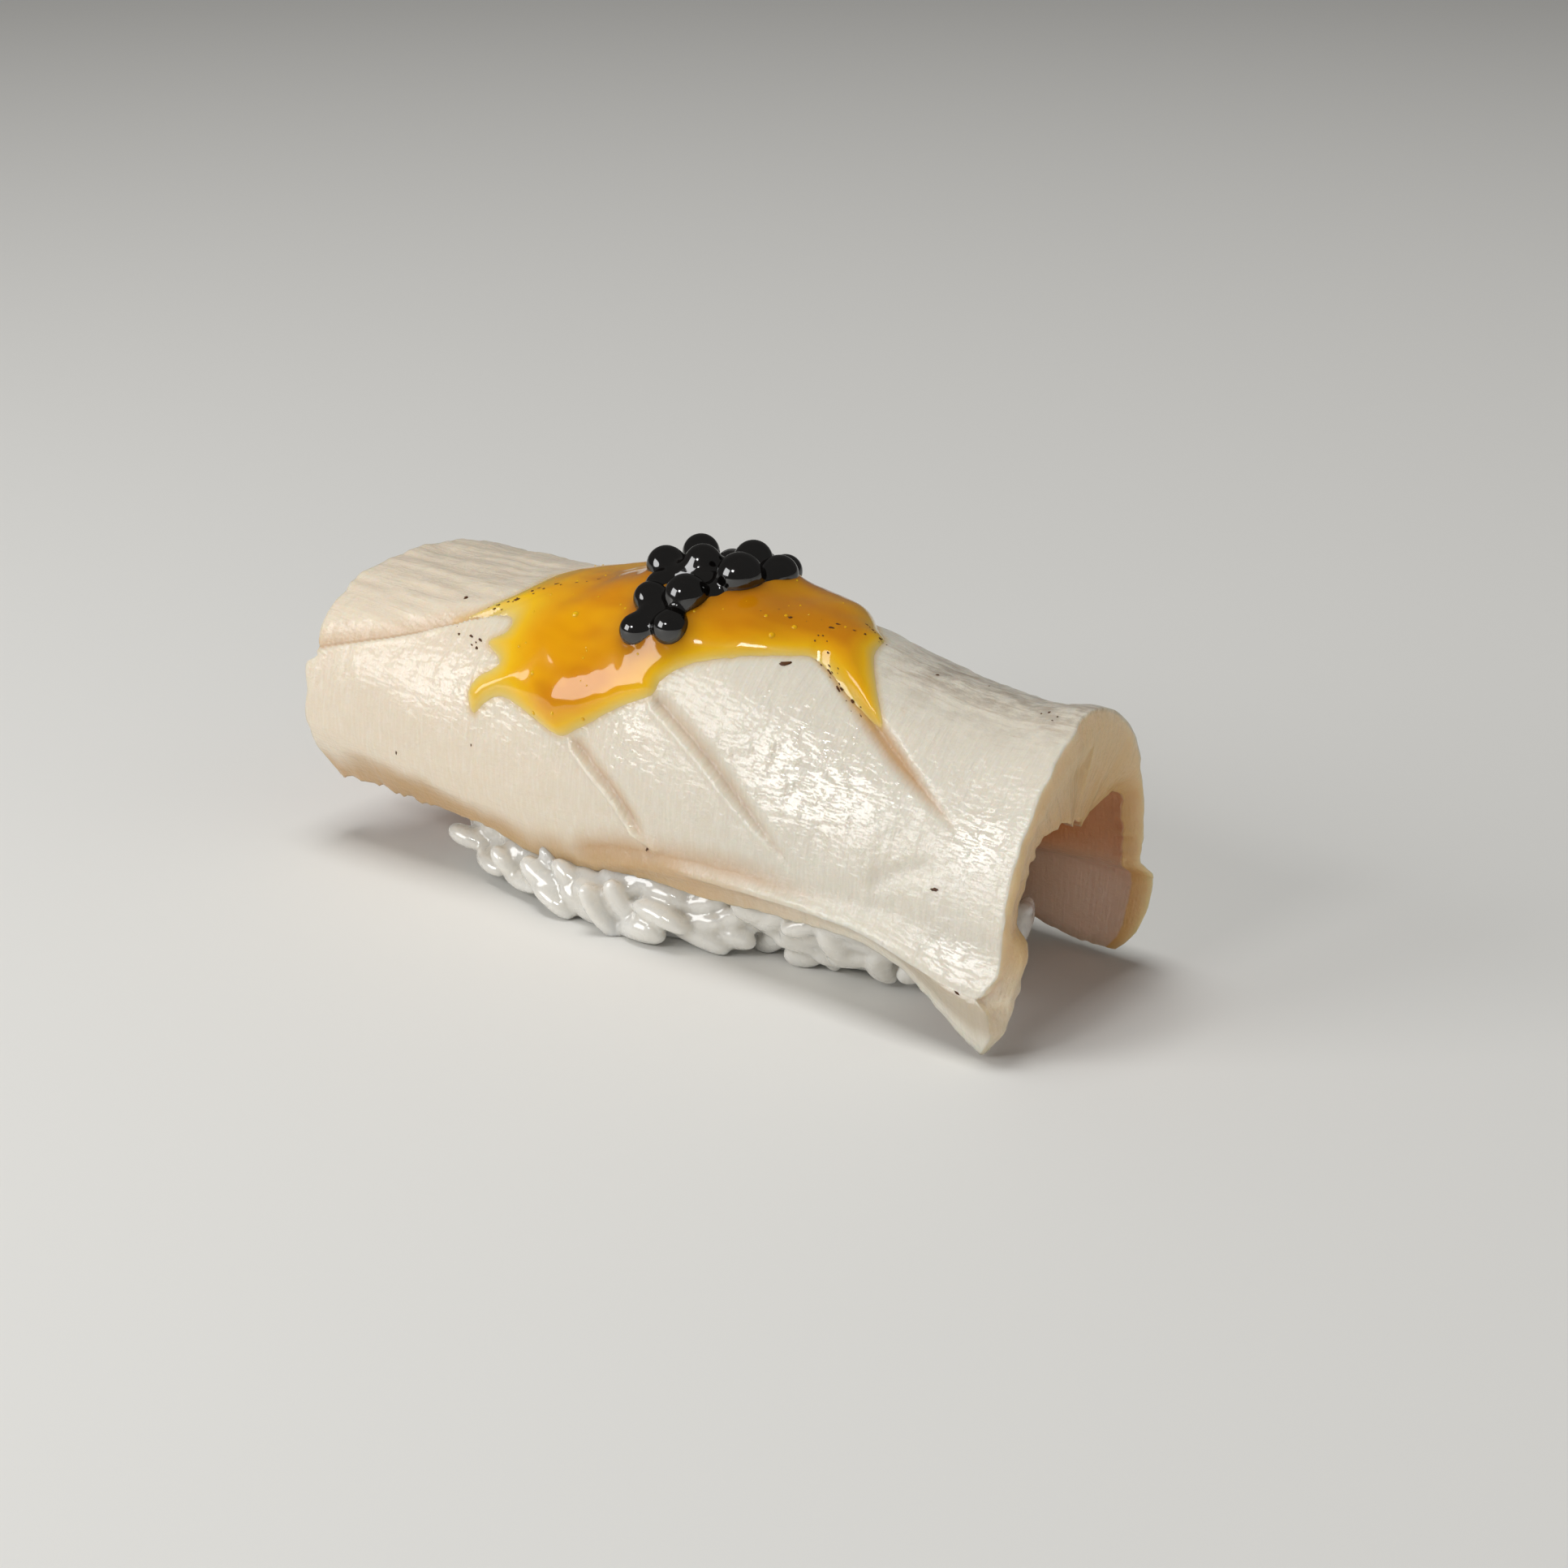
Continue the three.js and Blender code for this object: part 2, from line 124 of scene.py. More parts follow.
# Knife scores as [x, share] points, a depth, the banks to the left and the right of the way along them as a
# width and the height of a lip, and how tan they are, which is partly painted shade in the cut
SCORES = [
    ([(-41, 0.53), (-28.4, 0.394), (-14, 0.15)], 0.7, (2.2, 0), (0.4, 0.16), 0.5),
    ([(-6.8, 0.5), (-0.5, 0.636), (4, 0.8)], 0.45, (1.5, 0), (0.6, 0.3), 0.45),
    ([(1.4, 0.344), (9, 0.459), (20, 0.704)], 0.65, (1.5, 0.05), (0.6, 0.2), 0.36),
    ([(13, 0.08), (21.3, 0.2), (34.2, 0.437)], 0.75, (1.1, 0), (1.3, 0), 1.0),
    ([(-24, -0.3), (-17, -0.46), (-9, -0.68)], 0.75, (0.5, 0.2), (1.3, 0.05), 0.5),
    ([(2, -0.34), (10, -0.5), (19, -0.72)], 0.75, (0.5, 0.2), (1.3, 0.05), 0.5),
    ([(-7, 0.93), (8, 0.795), (24, 0.78)], 0.3, (2.4, 0), (1.2, 0.2), 0.55),
]
# Raised folds, and a dent, as [x, share] points with a height and a width
FOLDS = [
    ([(1.6, 0.73), (3, 0.768), (3.9, 0.795)], 0.4, 0.6),
    ([(-1, 0.93), (8, 0.83), (16.5, 0.805)], 0.2, 0.9),
    ([(31.6, 0.55), (29.4, 0.59), (27.2, 0.64)], -0.22, 0.8),
]
# How finely scores are traced, how far from them points are looked at, and how they taper and end
SCORE_STEPS = 160
SCORE_REACH = 3.5
SCORE_TAPER = Sizes(start=0.12, end=0.4)
SCORE_SHARPNESS = 1.3
SCORE_END_WIDTH = 0.4
LIP_PLACE = 1.2
LIP_SPREAD = 0.5

# Unevenness of the flesh: how large its lumps are, or how long along, across and into it, how far they reach
# out, and a seed. The ragged edges of the flesh are made in the same way.
LUMPS = [Sizes(size=9.0, reach=0.22, seed=0), Sizes(size=3.6, reach=0.13, seed=1)]
FINE_LUMPS = Sizes(size=1.1, reach=0.045, seed=5)
WET_LUMPS = Sizes(size=(1.2, 0.65, 1), reach=0.1, seed=6, calm=0.8)
FIBRES = Sizes(size=(0.6, 3.5, 1), reach=0.045, seed=7)
FAR_STREAKS = Sizes(size=(6.0, 0.9, 1), reach=0.16, seed=8, span=(-16.0, -28.0), shares=(0.5, 0.3))
FAR_RAGGED = Sizes(size=2.4, reach=0.32, seed=11)
NEAR_RAGGED = Sizes(size=1.4, reach=0.15, seed=12)
INNER_RAGGED = Sizes(size=1.1, reach=0.07, seed=13, span=(0.965, 1.0))
HEM_RAGGED = Sizes(size=0.6, reach=0.3, least=0.08, seed=14, power=4, span=(-22.0, -30.0))

# How the near end steps in and out, as [share, offset], and how its walls thicken or thin towards it
NEAR_STEPS = [
    (-1, -2.2), (-0.985, -1.3), (-0.96, -0.5), (-0.92, 0.1), (-0.88, 0.3), (-0.83, 0.3), (-0.79, 0.1),
    (-0.765, -0.3), (-0.7, -0.2), (-0.4, 0), (-0.1, 0.6), (0.1, 1.2), (0.5, 1.5), (0.8, 1.7), (0.85, 0.9),
    (0.868, 0.2), (0.89, 1.6), (0.94, 1.5), (1, -0.2),
]
NEAR_INNER_STEPS = [
    (-1, -2.4), (-0.96, -1.2), (-0.6, -1.2), (-0.25, -1.2), (0, -0.5), (0.1, 0.5), (0.68, 1.3),
    (0.76, 2.6), (0.88, 2.8), (0.94, 2), (1, -0.2),
]
NEAR_LAYERS = Sizes(front=(0.3, 0.55), back=(0.05, 1.0))
NEAR_FLARE = Sizes(
    crown=0.42, front=-0.42, back=-0.65, front_shares=(-0.1, 0.5), back_shares=(0.14, 0.46), span=(0.84, 1.0)
)
# Notch of the first score in the far end, furrow along the crease, recess of the near strip, bulge of the cut
# ends, the length that their depth stands for, and the gap to the floor
FAR_NOTCH = Sizes(share=0.522, spread=0.018, depth=1.3)
CREASE_FURROW = Sizes(depth=0.4, spread=0.014, span=(6.0, 26.0))
STRIP_RECESS = Sizes(depth=1.1, shares=(0.862, 0.885), span=(2.0, 24.0), end_span=(38.0, 28.0))
END_DOME = 0.3
END_GRAIN = 7.0
FLOOR_CLEAR = 0.05

# Where the tones of the flesh lie: the cooler near part, the tan stripe along its crease, partly painted
# shade where the flesh turns under, the fibres of the crown, the scorched crown with painted shade, the cut
# ends, the painted shade of the hollow inside and the painted shade on its strip
COOL_SPAN = (-21.0, 20.0)
# Tan along the crease: partly the turned-under flesh's own tan, partly painted shade where it turns under and
# on the near strip
CREASE_TAN_SHADE_TOP = [
    (-38, 0.85), (-29, 0.79), (-21, 0.83), (-10, 0.85), (-3, 0.82), (4, 0.775), (15, 0.79), (30, 0.85),
    (38, 0.86),
]
CREASE_TAN_SHADE = Sizes(soft=0.13, size=3.0, reach=0.03, seed=15, span=(32.0, 2.0))
CROWN_FIBRES = Sizes(share=0.13, far_share=0.45, far_span=(-13.0, -38.0), soft=0.05)
# Where the near crown is scorched; its grey streaks and sooty patches also paint the shade of its back slope
SCORCH_AND_SHADE = Sizes(span=(16.0, 24.0), share=-0.02, spread=0.12)
CUT_RIM = (0.0, 0.06)
# How the brown painted shade of the hollow inside fades low on its walls and near the end
INSIDE_SHADE_FADE = Sizes(
    shares=(0.6, 0.95), back_loss=0.55, front_loss=0.95, near_span=(0.86, 1.0), near_loss=0.2
)
# Painted shade on the cut face of the back wall at the near end
BACK_CUT_SHADE = (0.0, 0.2)
STRIP_SHADE = Sizes(shares=(0.862, 0.875, 0.92, 0.97), span=(18.0, 30.0))
CUT_FADE = Sizes(shares=(0.7, 0.9), loss=0.7)

# Wet patches of the flesh as [x, share, spread of x, spread of share, strength]
WET_PATCHES = [
    (19.5, 0.42, 7.0, 0.13, 1.0),
    (35.5, 0.44, 2.6, 0.1, 0.9),
    (35.5, 0.78, 3.0, 0.06, 0.7),
    (0.0, 0.5, 2.6, 0.1, 0.7),
    (-18.0, 0.5, 8.0, 0.1, 0.3),
]

# Glaze pool: its outline as [x, share], and how thick it is and how soft its edges run out
GLAZE_OUTLINE = [
    (-24.3, 0.318), (-21.2, 0.275), (-18.2, 0.262), (-17.6, 0.3), (-18.9, 0.345), (-16.6, 0.385),
    (-18.4, 0.44), (-18.9, 0.488), (-17.8, 0.534), (-16.4, 0.487), (-14.6, 0.467), (-11.6, 0.487),
    (-8, 0.512), (-5.6, 0.472), (-1.7, 0.395), (1.6, 0.345), (2.2, 0.305), (4.4, 0.253), (8, 0.205),
    (12.2, 0.152), (14.8, 0.128), (18.5, 0.17), (22.8, 0.214), (21, 0.14), (18.2, 0.05), (17.2, -0.02),
    (14.6, -0.08), (9.5, -0.22), (3, -0.36), (-6, -0.34), (-14, -0.2), (-20.2, -0.02), (-20.2, 0.15),
    (-21.6, 0.24),
]
GLAZE = Sizes(
    thickness=1.05, crisp_run=0.9, soft_run=2.4, soft_span=(-8.0, -16.0), groove_fill=0.85, fill_run=1.0,
    drop=0.45, drop_run=0.3, reach=0.5, under=0.7,
    waves=[Sizes(size=4.0, reach=0.3, seed=65), Sizes(size=1.3, reach=0.035, seed=66)],
)
# Steps of the outline between its points, batches of points that are measured against it, the grid of the
# skin as start, end and count, and where the flesh is stained and the glaze is brown
GLAZE_STEPS = 7
GLAZE_BATCHES = 24
GLAZE_CELLS = Sizes(x=(-26.0, 25.0, 204), share=(-0.42, 0.58, 140))
STAIN_SPAN = (-0.6, 0.1)
BROWN_SPAN = (1.0, 9.0)

# Roe pearls on the glaze as [x, share, radius, seat], with low ones that fill the gaps between them
ROE = [
    (-1.54, 0.227, 1.5, 0.1), (1.85, 0.204, 1.6, 0.1), (-2.5, 0.151, 1.5, 0.1), (1.15, 0.132, 1.88, 0.1),
    (-5.1, 0.042, 1.74, 0.1), (-1.0, 0.033, 1.58, 0.8), (-5.2, -0.06, 1.65, 0.5), (3.5, 0.042, 2.05, 0.0),
    (1.0, -0.055, 1.7, 0.45), (4.6, -0.04, 1.68, -0.1), (-4.2, -0.13, 1.5, -0.2), (-1.2, -0.14, 1.5, 0.1),
    (1.8, -0.13, 1.5, 0.1), (-1.8, -0.22, 1.4, 0.1),
]
LOW_ROE = [
    (0.1, 0.2, 1.2, -0.4), (-1.1, 0.183, 1.35, -0.15), (-0.8, 0.14, 1.2, -0.5), (-3.6, 0.1, 1.4, -0.4),
    (-1.8, 0.055, 1.5, -0.4), (0.4, 0.065, 1.4, -0.6), (2.5, 0.085, 1.3, -0.7), (-0.6, 0, 1.5, -0.6),
    (1.4, 0, 1.5, -0.6), (4.2, 0, 1.3, -0.7), (-4.6, -0.01, 1.4, -0.6), (3, -0.06, 1.4, -0.5),
    (-1.6, -0.06, 1.5, -0.4), (-3.3, 0.055, 1.4, -0.4),
]
ROE_BALL = Sizes(rings=24, sides=36)
ROE_MERGE = Sizes(voxel=0.16, smoothing=0.5, rounds=2, least_shell=400, swell=0.15)
ROE_WRAP = Sizes(web=0.33, rounds=8, least_slope=0.3)
# How far the glaze climbs the pearls
MENISCUS = Sizes(height=0.8, foot=0.8, reach=0.9)

# Rice block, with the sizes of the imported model, and its grains
RICE = Sizes(
    far_end=-25.0, near_end=28.5, arch_depth=1.16, arch_turn=1 / 2, bulge_turn=2 / 3, foot_turn=3 / 4,
    bulge_height=2.4, foot_inset=1.6, under_floor=0.5, end_shrink=0.3, end_shrink_power=6, end_dome=2.0,
    near_lean=0.42, lean_from=4.0, centre_height=8.0,
)
RICE_BULGE = Sizes(
    front=Sizes(far=10.2, middle=13.8, near=7.7),
    back=Sizes(far=12.6, middle=12.6, near=9.0),
    far_span=(-8.0, -22.0),
    near_span=(0.0, 16.0),
)
RICE_CORE = Sizes(rings=60, sides=72, cap=0.2, out=0.945)
RICE_MERGE = Sizes(voxel=0.265, smoothing=0.4, rounds=1, least_shell=400)
# Grains: half their size each way, their shape, where their heart lies in the block, and how they lie on it
GRAIN = Sizes(length=2.7, width=1.1, thickness=0.95, vary=0.2, rings=12, sides=14)
GRAIN_SHAPE = Sizes(blunt=0.75, slim=0.12, bend=0.35, bend_rest=0.5)
GRAIN_HEART = Sizes(along=0.9, across=0.4, up=0.6)
GRAIN_LIE = (3.6, 0.8, 0.8)
GRAIN_LIFT = (-0.3, 0.5)
SIDE_GRAINS = Sizes(columns=15, turns=(0.54, 0.59, 0.64, 0.69), stagger=0.5, shift=0.3, jitter=0.02)
END_GRAINS = Sizes(columns=7, reaches=(0.3, 0.6, 0.9), turns=0.72, shift=0.25)
# Single grains at the near and far ends as [x, y, z] and the way they point
LOOSE_GRAINS = [
    ((29.5, 5.4, 3.4), (0.1, 0.5, 0.85)),
    ((29.2, 3.4, 2.2), (0.2, 0.9, -0.3)),
    ((-21.4, -10.8, 2.8), (1, 0.2, -0.15)),
    ((-18.0, -11.6, 1.7), (0.8, -0.4, -0.1)),
    ((-14.4, -12.3, 2.2), (0.7, 0.3, -0.6)),
]
RICE_SEED = 20417

# Char flecks as lines of [x, share] with a count, and single ones as [x, share, radius]
FLECK_LINES = [
    ([(-20.7, 0.264), (-19.3, 0.219), (-16.9, 0.174), (-12.6, 0.092)], 18),
    ([(-23.3, 0.335), (-21, 0.35), (-19.7, 0.363)], 9),
    ([(13.6, 0.092), (15.7, 0.131), (17.5, 0.159), (20.5, 0.208)], 22),
    ([(15.4, 0.004), (17.4, 0)], 8),
    ([(34.4, 0.021), (37.1, 0.047)], 5),
    ([(8, 0.11), (12, 0.06), (15, 0.03)], 8),
]
FLECKS = [
    (-25, 0.242, 0.2), (12.4, 0.172, 0.2), (32.9, 0.609, 0.14), (2.8, 0.811, 0.11), (37.2, 0.87, 0.12),
    (-27, 0.729, 0.09), (-17.8, 0.62, 0.07), (-26, 0.17, 0.08), (24, 0.02, 0.08), (28, -0.03, 0.09),
]
FLECK = Sizes(
    typical=0.075, vary=0.5, largest=0.13, flat=0.4, longest=3.0, spread=0.35, rings=6, sides=8, lumps=0.35
)
FLECK_SEED = 77

# Bubbles in the glaze as [x, share, radius], and how many more small ones there are
BUBBLES = [
    (-10.1, 0.221, 0.4), (-11.7, 0.382, 0.24), (-10.8, 0.474, 0.22), (-8.1, 0.455, 0.22),
    (-5.1, 0.446, 0.2), (-14.5, 0.333, 0.2), (8.6, 0.103, 0.22), (11.2, 0.092, 0.28), (9.8, 0.077, 0.2),
    (10.1, 0.133, 0.34),
]
SMALL_BUBBLES = Sizes(count=60, smallest=0.06, largest=0.15, seed=5)
BUBBLE = Sizes(rings=8, sides=12, sink=0.55, tone=0.7)

# Camera of the photograph: where it looks from and at, and the focal length in image widths
CAMERA = Sizes(azimuth=42.0, elevation=20.5, distance=271.0, target=(6.9, 0.6, 12.0), focal=3800 / 1932)
SENSOR = 36.0
CLIP = (0.01, 10.0)

# Lights as azimuth, elevation, distance and size in metres, power, and whether they show in reflections
LIGHTS = {
    "key": (-31.0, 22.0, 0.45, (0.24, 0.2), 0.78, True),
    "front": (2.0, 36.0, 0.45, (0.08, 0.06), 0.22, True),
    "top": (-90.0, 82.0, 1.0, (0.5, 0.5), 5.1, False),
    "side": (100.0, 25.0, 1.0, (1.2, 0.9), 0.7, False),
    "fill": (52.0, 6.0, 0.6, (0.5, 0.12), 0.5, False),
}
LIGHT_TARGET = (0.0, 0.0, 12.0)
WORLD = Sizes(tone="f2f0ec", strength=0.13)
FLOOR = Sizes(size=4.0, tone="e9e8e4", roughness=0.7)

# Looks: layers of tone, each over the ones before it, as a hex colour and how far it covers. Patterns have a
# scale in each metre, a span from where they start to where they are full, and relief in millimetres.
NOISE_SPAN = (0.3, 0.7)
FISH_TONES = Sizes(warm="eadcc6", cool="ded9cb")
FISH_LAYERS = {
    "blotch": ("e0cfb5", 0.35),
    "pale": ("f6f1e6", 0.35),
    # tan along the crease, partly painted shade
    "crease_tan_shade": ("c39d6a", 0.9),
    "thread": ("b89a74", 0.3),
    # grey streaks of the scorched crown, partly painted shade
    "streak": ("8c7c68", 0.35),
    # sooty patches of the scorched crown, partly painted shade
    "soot": ("928270", 0.65),
    # tan of the scores, partly painted shade in them
    "groove": ("c69b68", 0.85),
    "shade": ("a89474", 0.6),
}
FISH_CUT = Sizes(rim="e8cb98", deep="d2a462", cover=0.9)
# Last layers: painted shade on the back wall's cut face, brown painted shade of the hollow inside, and the
# glaze's stain
FISH_LAST_LAYERS = {"back_cut_shade": ("c89a50", 0.5), "inside": ("c4741e", 1.0), "stain": ("e2b048", 0.5)}
FISH_SPANS = Sizes(
    pale=(0.45, 0.75), thread=(0.58, 0.66), streak=(0.42, 0.66), soot=(0.42, 0.62), groove=(0.0, 0.7)
)
FISH_SCALES = Sizes(blotch=160.0, grain=2200.0)
FISH_RELIEF = Sizes(fibre=0.07, grain=0.09, film=0.17)
# Patterns of the fish for each millimetre along, across and into it
FISH_DRAWN = Sizes(hanging=(3.5, 0.35, 1), lying=(0.15, 2.4, 1.5), soot=(0.35, 0.9, 1), film=(0.8, 1.7, 1))
# How the fish changes from dry to wet, how wet it is where that is done, and the coat left in its grooves
FISH_WET = Sizes(
    roughness=(0.42, 0.2), coat=(0.35, 1.0), coat_full=0.7, coat_roughness=(0.14, 0.05), smooth_full=0.6,
    groove_coat=0.2,
)
RICE_LOOK = Sizes(
    shade="d9d5cb", light="e9e8e4", cloud=250.0, grain=900.0, roughness=(0.2, 0.38), relief=0.06
)
RICE_LAYERS = {"speck": ("cfc8b8", 0.3)}
GLAZE_LOOK = Sizes(
    stops=[(0.0, "e6cb86"), (0.2, "eac75c"), (0.55, "f3be14"), (0.85, "eaa502"), (1.0, "d68a00")],
    cloud=90.0, drawn=(1, 2.2, 2.2), depth=(0.8, 1.1),
)
GLAZE_LAYERS = {"climb": ("8a4a08", 0.7), "brown": ("9c5c10", 0.35)}
ROE_LOOK = Sizes(
    dark="020202", light="0b0705", cloud=700.0, roughness=(0.1, 0.2), rim=(0.2, 0.7), rim_coat=(1.0, 0.15)
)
CHAR_LOOK = Sizes(dark="2a170a", light="6e421e", cloud=1200.0)


def mix(a, b, share):
    return a + (b - a) * share


def clamp01(value):
    return np.clip(value, 0, 1)


def bump(x, centre, spread):
    return np.exp(-(((x - centre) / spread) ** 2))


def through(span, x):
    """How far x is through a span, from 0 at its start to 1 at its end."""
    start, end = span
    return clamp01((x - start) / (end - start))


def smooth(span, x):
    share = through(span, x)
    return share * share * (3 - 2 * share)


def unit(vectors):
    return vectors / np.linalg.norm(vectors, axis=-1, keepdims=True)


def stack(*columns):
    """Columns of numbers, or single numbers, as an array of points."""
    return np.stack(np.broadcast_arrays(*columns), axis=-1).astype(float)


def noise(points, size, seed):
    """Smooth noise from -1 to 1 at the points, with lumps of about that size, or of a size for each axis."""
    table = np.random.default_rng(seed).uniform(-1, 1, (NOISE_CELLS,) * 3)
    place = points / size
    cell = np.floor(place).astype(int)
    part = place - cell
    part = part * part * (3 - 2 * part)
    total = np.zeros(len(points))
    for corner in np.ndindex(2, 2, 2):
        weight = np.prod(np.where(corner, part, 1 - part), axis=1)
        total += weight * table[tuple(((cell + corner) % NOISE_CELLS).T)]
    return total


def rough(kind, points):
    """Noise of a kind that has a reach, a size and a seed."""
    return kind.reach * noise(points, kind.size, kind.seed)


def spline(points, steps):
    """A smooth line through the points, as that many points."""
    points = np.array(points, float)
    padded = np.vstack([points[:1], points, points[-1:]])
    place = np.linspace(0, len(points) - 1, steps)
    cell = np.minimum(place.astype(int), len(points) - 2)
    t = (place - cell)[:, None]
    before, start, end, after = (padded[cell + k] for k in range(4))
    leave = (end - before) / 2
    arrive = (after - start) / 2
    cubic = 2 * (start - end) + leave + arrive
    square = 3 * (end - start) - 2 * leave - arrive
    return ((cubic * t + square) * t + leave) * t + start


# Plain slice


def along_slice(stations, x):
    far, middle, near = stations
    to_middle = smooth((FAR_X, MIDDLE_X), x)
    to_near = smooth((MIDDLE_X, NEAR_X), x)
    return mix(far, middle, to_middle) + (near - middle) * to_near


def crown_height(x):
    spread = np.where(x < CROWN.hump_x, CROWN.hump_far_spread, CROWN.hump_near_spread)
    lip = CROWN.lip * smooth((NEAR_X - CROWN.lip_length, NEAR_X), x)
    return CROWN.height + CROWN.hump * bump(x, CROWN.hump_x, spread) + lip


def crease_height(crease, x):
    rise = crease.far_rise * smooth(FAR_RISE_SPAN, x)
    return crease.height + rise - crease.near_drop * smooth(NEAR_CREASE_SPAN, x)


def hem_height(hem, x):
    drop = hem.near_drop * through(hem.near_span, x) ** NEAR_HEM_POWER
    return hem.height - hem.dip * bump(x, hem.dip_x, hem.dip_spread) - drop


def strip_share(share):
    """How far down the turned-in strip between crease and hem a share lies."""
    return through((CREASE_SHARE, 1), np.abs(share))


def half_point(half, x, share, depth):
    """A point of one half of the slice, by its share from crown to hem and its depth from the outside."""
    down = np.abs(share)
    crown_y = along_slice(CROWN.y, x) * half.away
    base = along_slice(half.base_height, x)
    rise = crown_height(x) - depth * along_slice(CROWN.thickness, x) - base
    half_width = along_slice(half.half_width, x) - depth * along_slice(half.wall, x)
    power = along_slice(half.roundness, x)
    angle = clamp01(down / ARCH_SHARE) * np.pi / 2
    outward = np.sin(angle) / (half_width - crown_y)
    upward = np.maximum(np.cos(angle), 0) / rise
    radius = (outward**power + upward**power) ** (-1 / power)

    skirt = through((ARCH_SHARE, CREASE_SHARE), down)
    strip = strip_share(share)
    crease_y = along_slice(half.crease_half_width, x) - depth * along_slice(half.crease_wall, x)
    crease_z = crease_height(half.crease, x)
    hem_y = along_slice(half.hem_half_width, x) - depth * along_slice(half.hem_wall, x)
    hem_z = hem_height(half.hem, x) + depth * HEM_LIFT_INSIDE
    y = crown_y + radius * np.sin(angle) + (crease_y - half_width) * skirt**2 + (hem_y - crease_y) * strip
    z = base + radius * np.cos(angle) + (crease_z - base) * skirt + (hem_z - crease_z) * strip
    return stack(x, y * half.away, z)


def slice_point(x, share, depth=0.0):
    """A point of the plain slice. The share runs from the back hem, -1, over the crown to the front hem."""
    x, share, depth = np.broadcast_arrays(*(np.asarray(value, float) for value in (x, share, depth)))
    behind = (share < 0)[..., None]
    return np.where(behind, half_point(BACK, x, share, depth), half_point(FRONT, x, share, depth))


def slice_normal(x, share):
    along_x = slice_point(x + NUDGE, share) - slice_point(x - NUDGE, share)
    along_share = slice_point(x, share + NUDGE) - slice_point(x, share - NUDGE)
    return unit(np.cross(along_share, along_x))


def above(x, share, height):
    """Points that stand over points of the plain slice by that height."""
    return slice_point(x, share) + slice_normal(x, share) * height[:, None]


# Relief of the flesh


def beside_line(points, base, normal):
    """Which points of the slice lie near a line on it, how far along it, and how far to its left."""
    path = slice_point(*spline(points, SCORE_STEPS).T)
    ahead = unit(np.gradient(path, axis=0))
    near = np.all((base > path.min(0) - SCORE_REACH) & (base < path.max(0) + SCORE_REACH), axis=1)
    nearest = ((base[near][:, None] - path) ** 2).sum(-1).argmin(1)
    step = base[near] - path[nearest]
    leftward = unit(np.cross(normal[near], ahead[nearest]))
    beyond = np.abs((step * ahead[nearest]).sum(-1))
    return near, nearest / (SCORE_STEPS - 1), (step * leftward).sum(-1), beyond


def score_cut(score, base, normal):
    """How far a score cuts or lifts points of the slice, and how tan it makes them, partly as painted shade.
    """
    points, depth, left, right, tone = score
    lift = np.zeros(len(base))
    tan = np.zeros(len(base))
    near, place, aside, _ = beside_line(points, base, normal)
    taper = smooth((0, SCORE_TAPER.start), place) * smooth((1, 1 - SCORE_TAPER.end), place)
    bank, lip = np.where(aside > 0, np.array([left]).T, np.array([right]).T)
    away = np.abs(aside) / (bank * mix(SCORE_END_WIDTH, 1, taper))
    inside = taper * clamp01(1 - away) ** SCORE_SHARPNESS
    lift[near] = lip * taper * bump(away, LIP_PLACE, LIP_SPREAD) - depth * inside
    tan[near] = tone * inside
    return lift, tan


def fold_rise(fold, base, normal):
    """How high a raised fold stands at points of the slice."""
    points, height, width = fold
    rise = np.zeros(len(base))
    near, _, aside, beyond = beside_line(points, base, normal)
    rise[near] = height * bump(np.hypot(aside, beyond), 0, width)
    return rise


def wetness(x, share):
    total = np.zeros(len(x))
    for centre_x, centre_share, spread_x, spread_share, strength in WET_PATCHES:
        here = strength * bump(x, centre_x, spread_x) * bump(share, centre_share, spread_share)
        total = np.maximum(total, here)
    return total


def form(x, share):
    """How far lumps, scores and folds stand out from the plain slice, and how tan the scores make it, partly
    as painted shade.
    """
    base = slice_point(x, share)
    normal = slice_normal(x, share)
    lift = np.zeros(len(x))
    for lump in LUMPS:
        lift += rough(lump, base)
    furrow = CREASE_FURROW.depth * smooth(CREASE_FURROW.span, x)
    lift -= furrow * bump(np.abs(share), CREASE_SHARE, CREASE_FURROW.spread)
    groove = np.zeros(len(x))
    for score in SCORES:
        cut, tan = score_cut(score, base, normal)
        lift += cut
        groove = np.maximum(groove, tan)
    for fold in FOLDS:
        lift += fold_rise(fold, base, normal)
    return lift, groove


def texture(x, share):
    """How far the fine lumps, wet lumps, fibres and far streaks of the flesh stand out."""
    wet = wetness(x, share)
    flat = stack(x, share * SECTION_LENGTH, 0)
    far_part = smooth(FAR_STREAKS.span, x) * smooth(FAR_STREAKS.shares, share)
    lift = rough(FINE_LUMPS, slice_point(x, share)) + wet * rough(WET_LUMPS, flat)
    lift += (1 - WET_LUMPS.calm * wet) * rough(FIBRES, flat)
    return lift + far_part * rough(FAR_STREAKS, flat)


# Form of the glaze


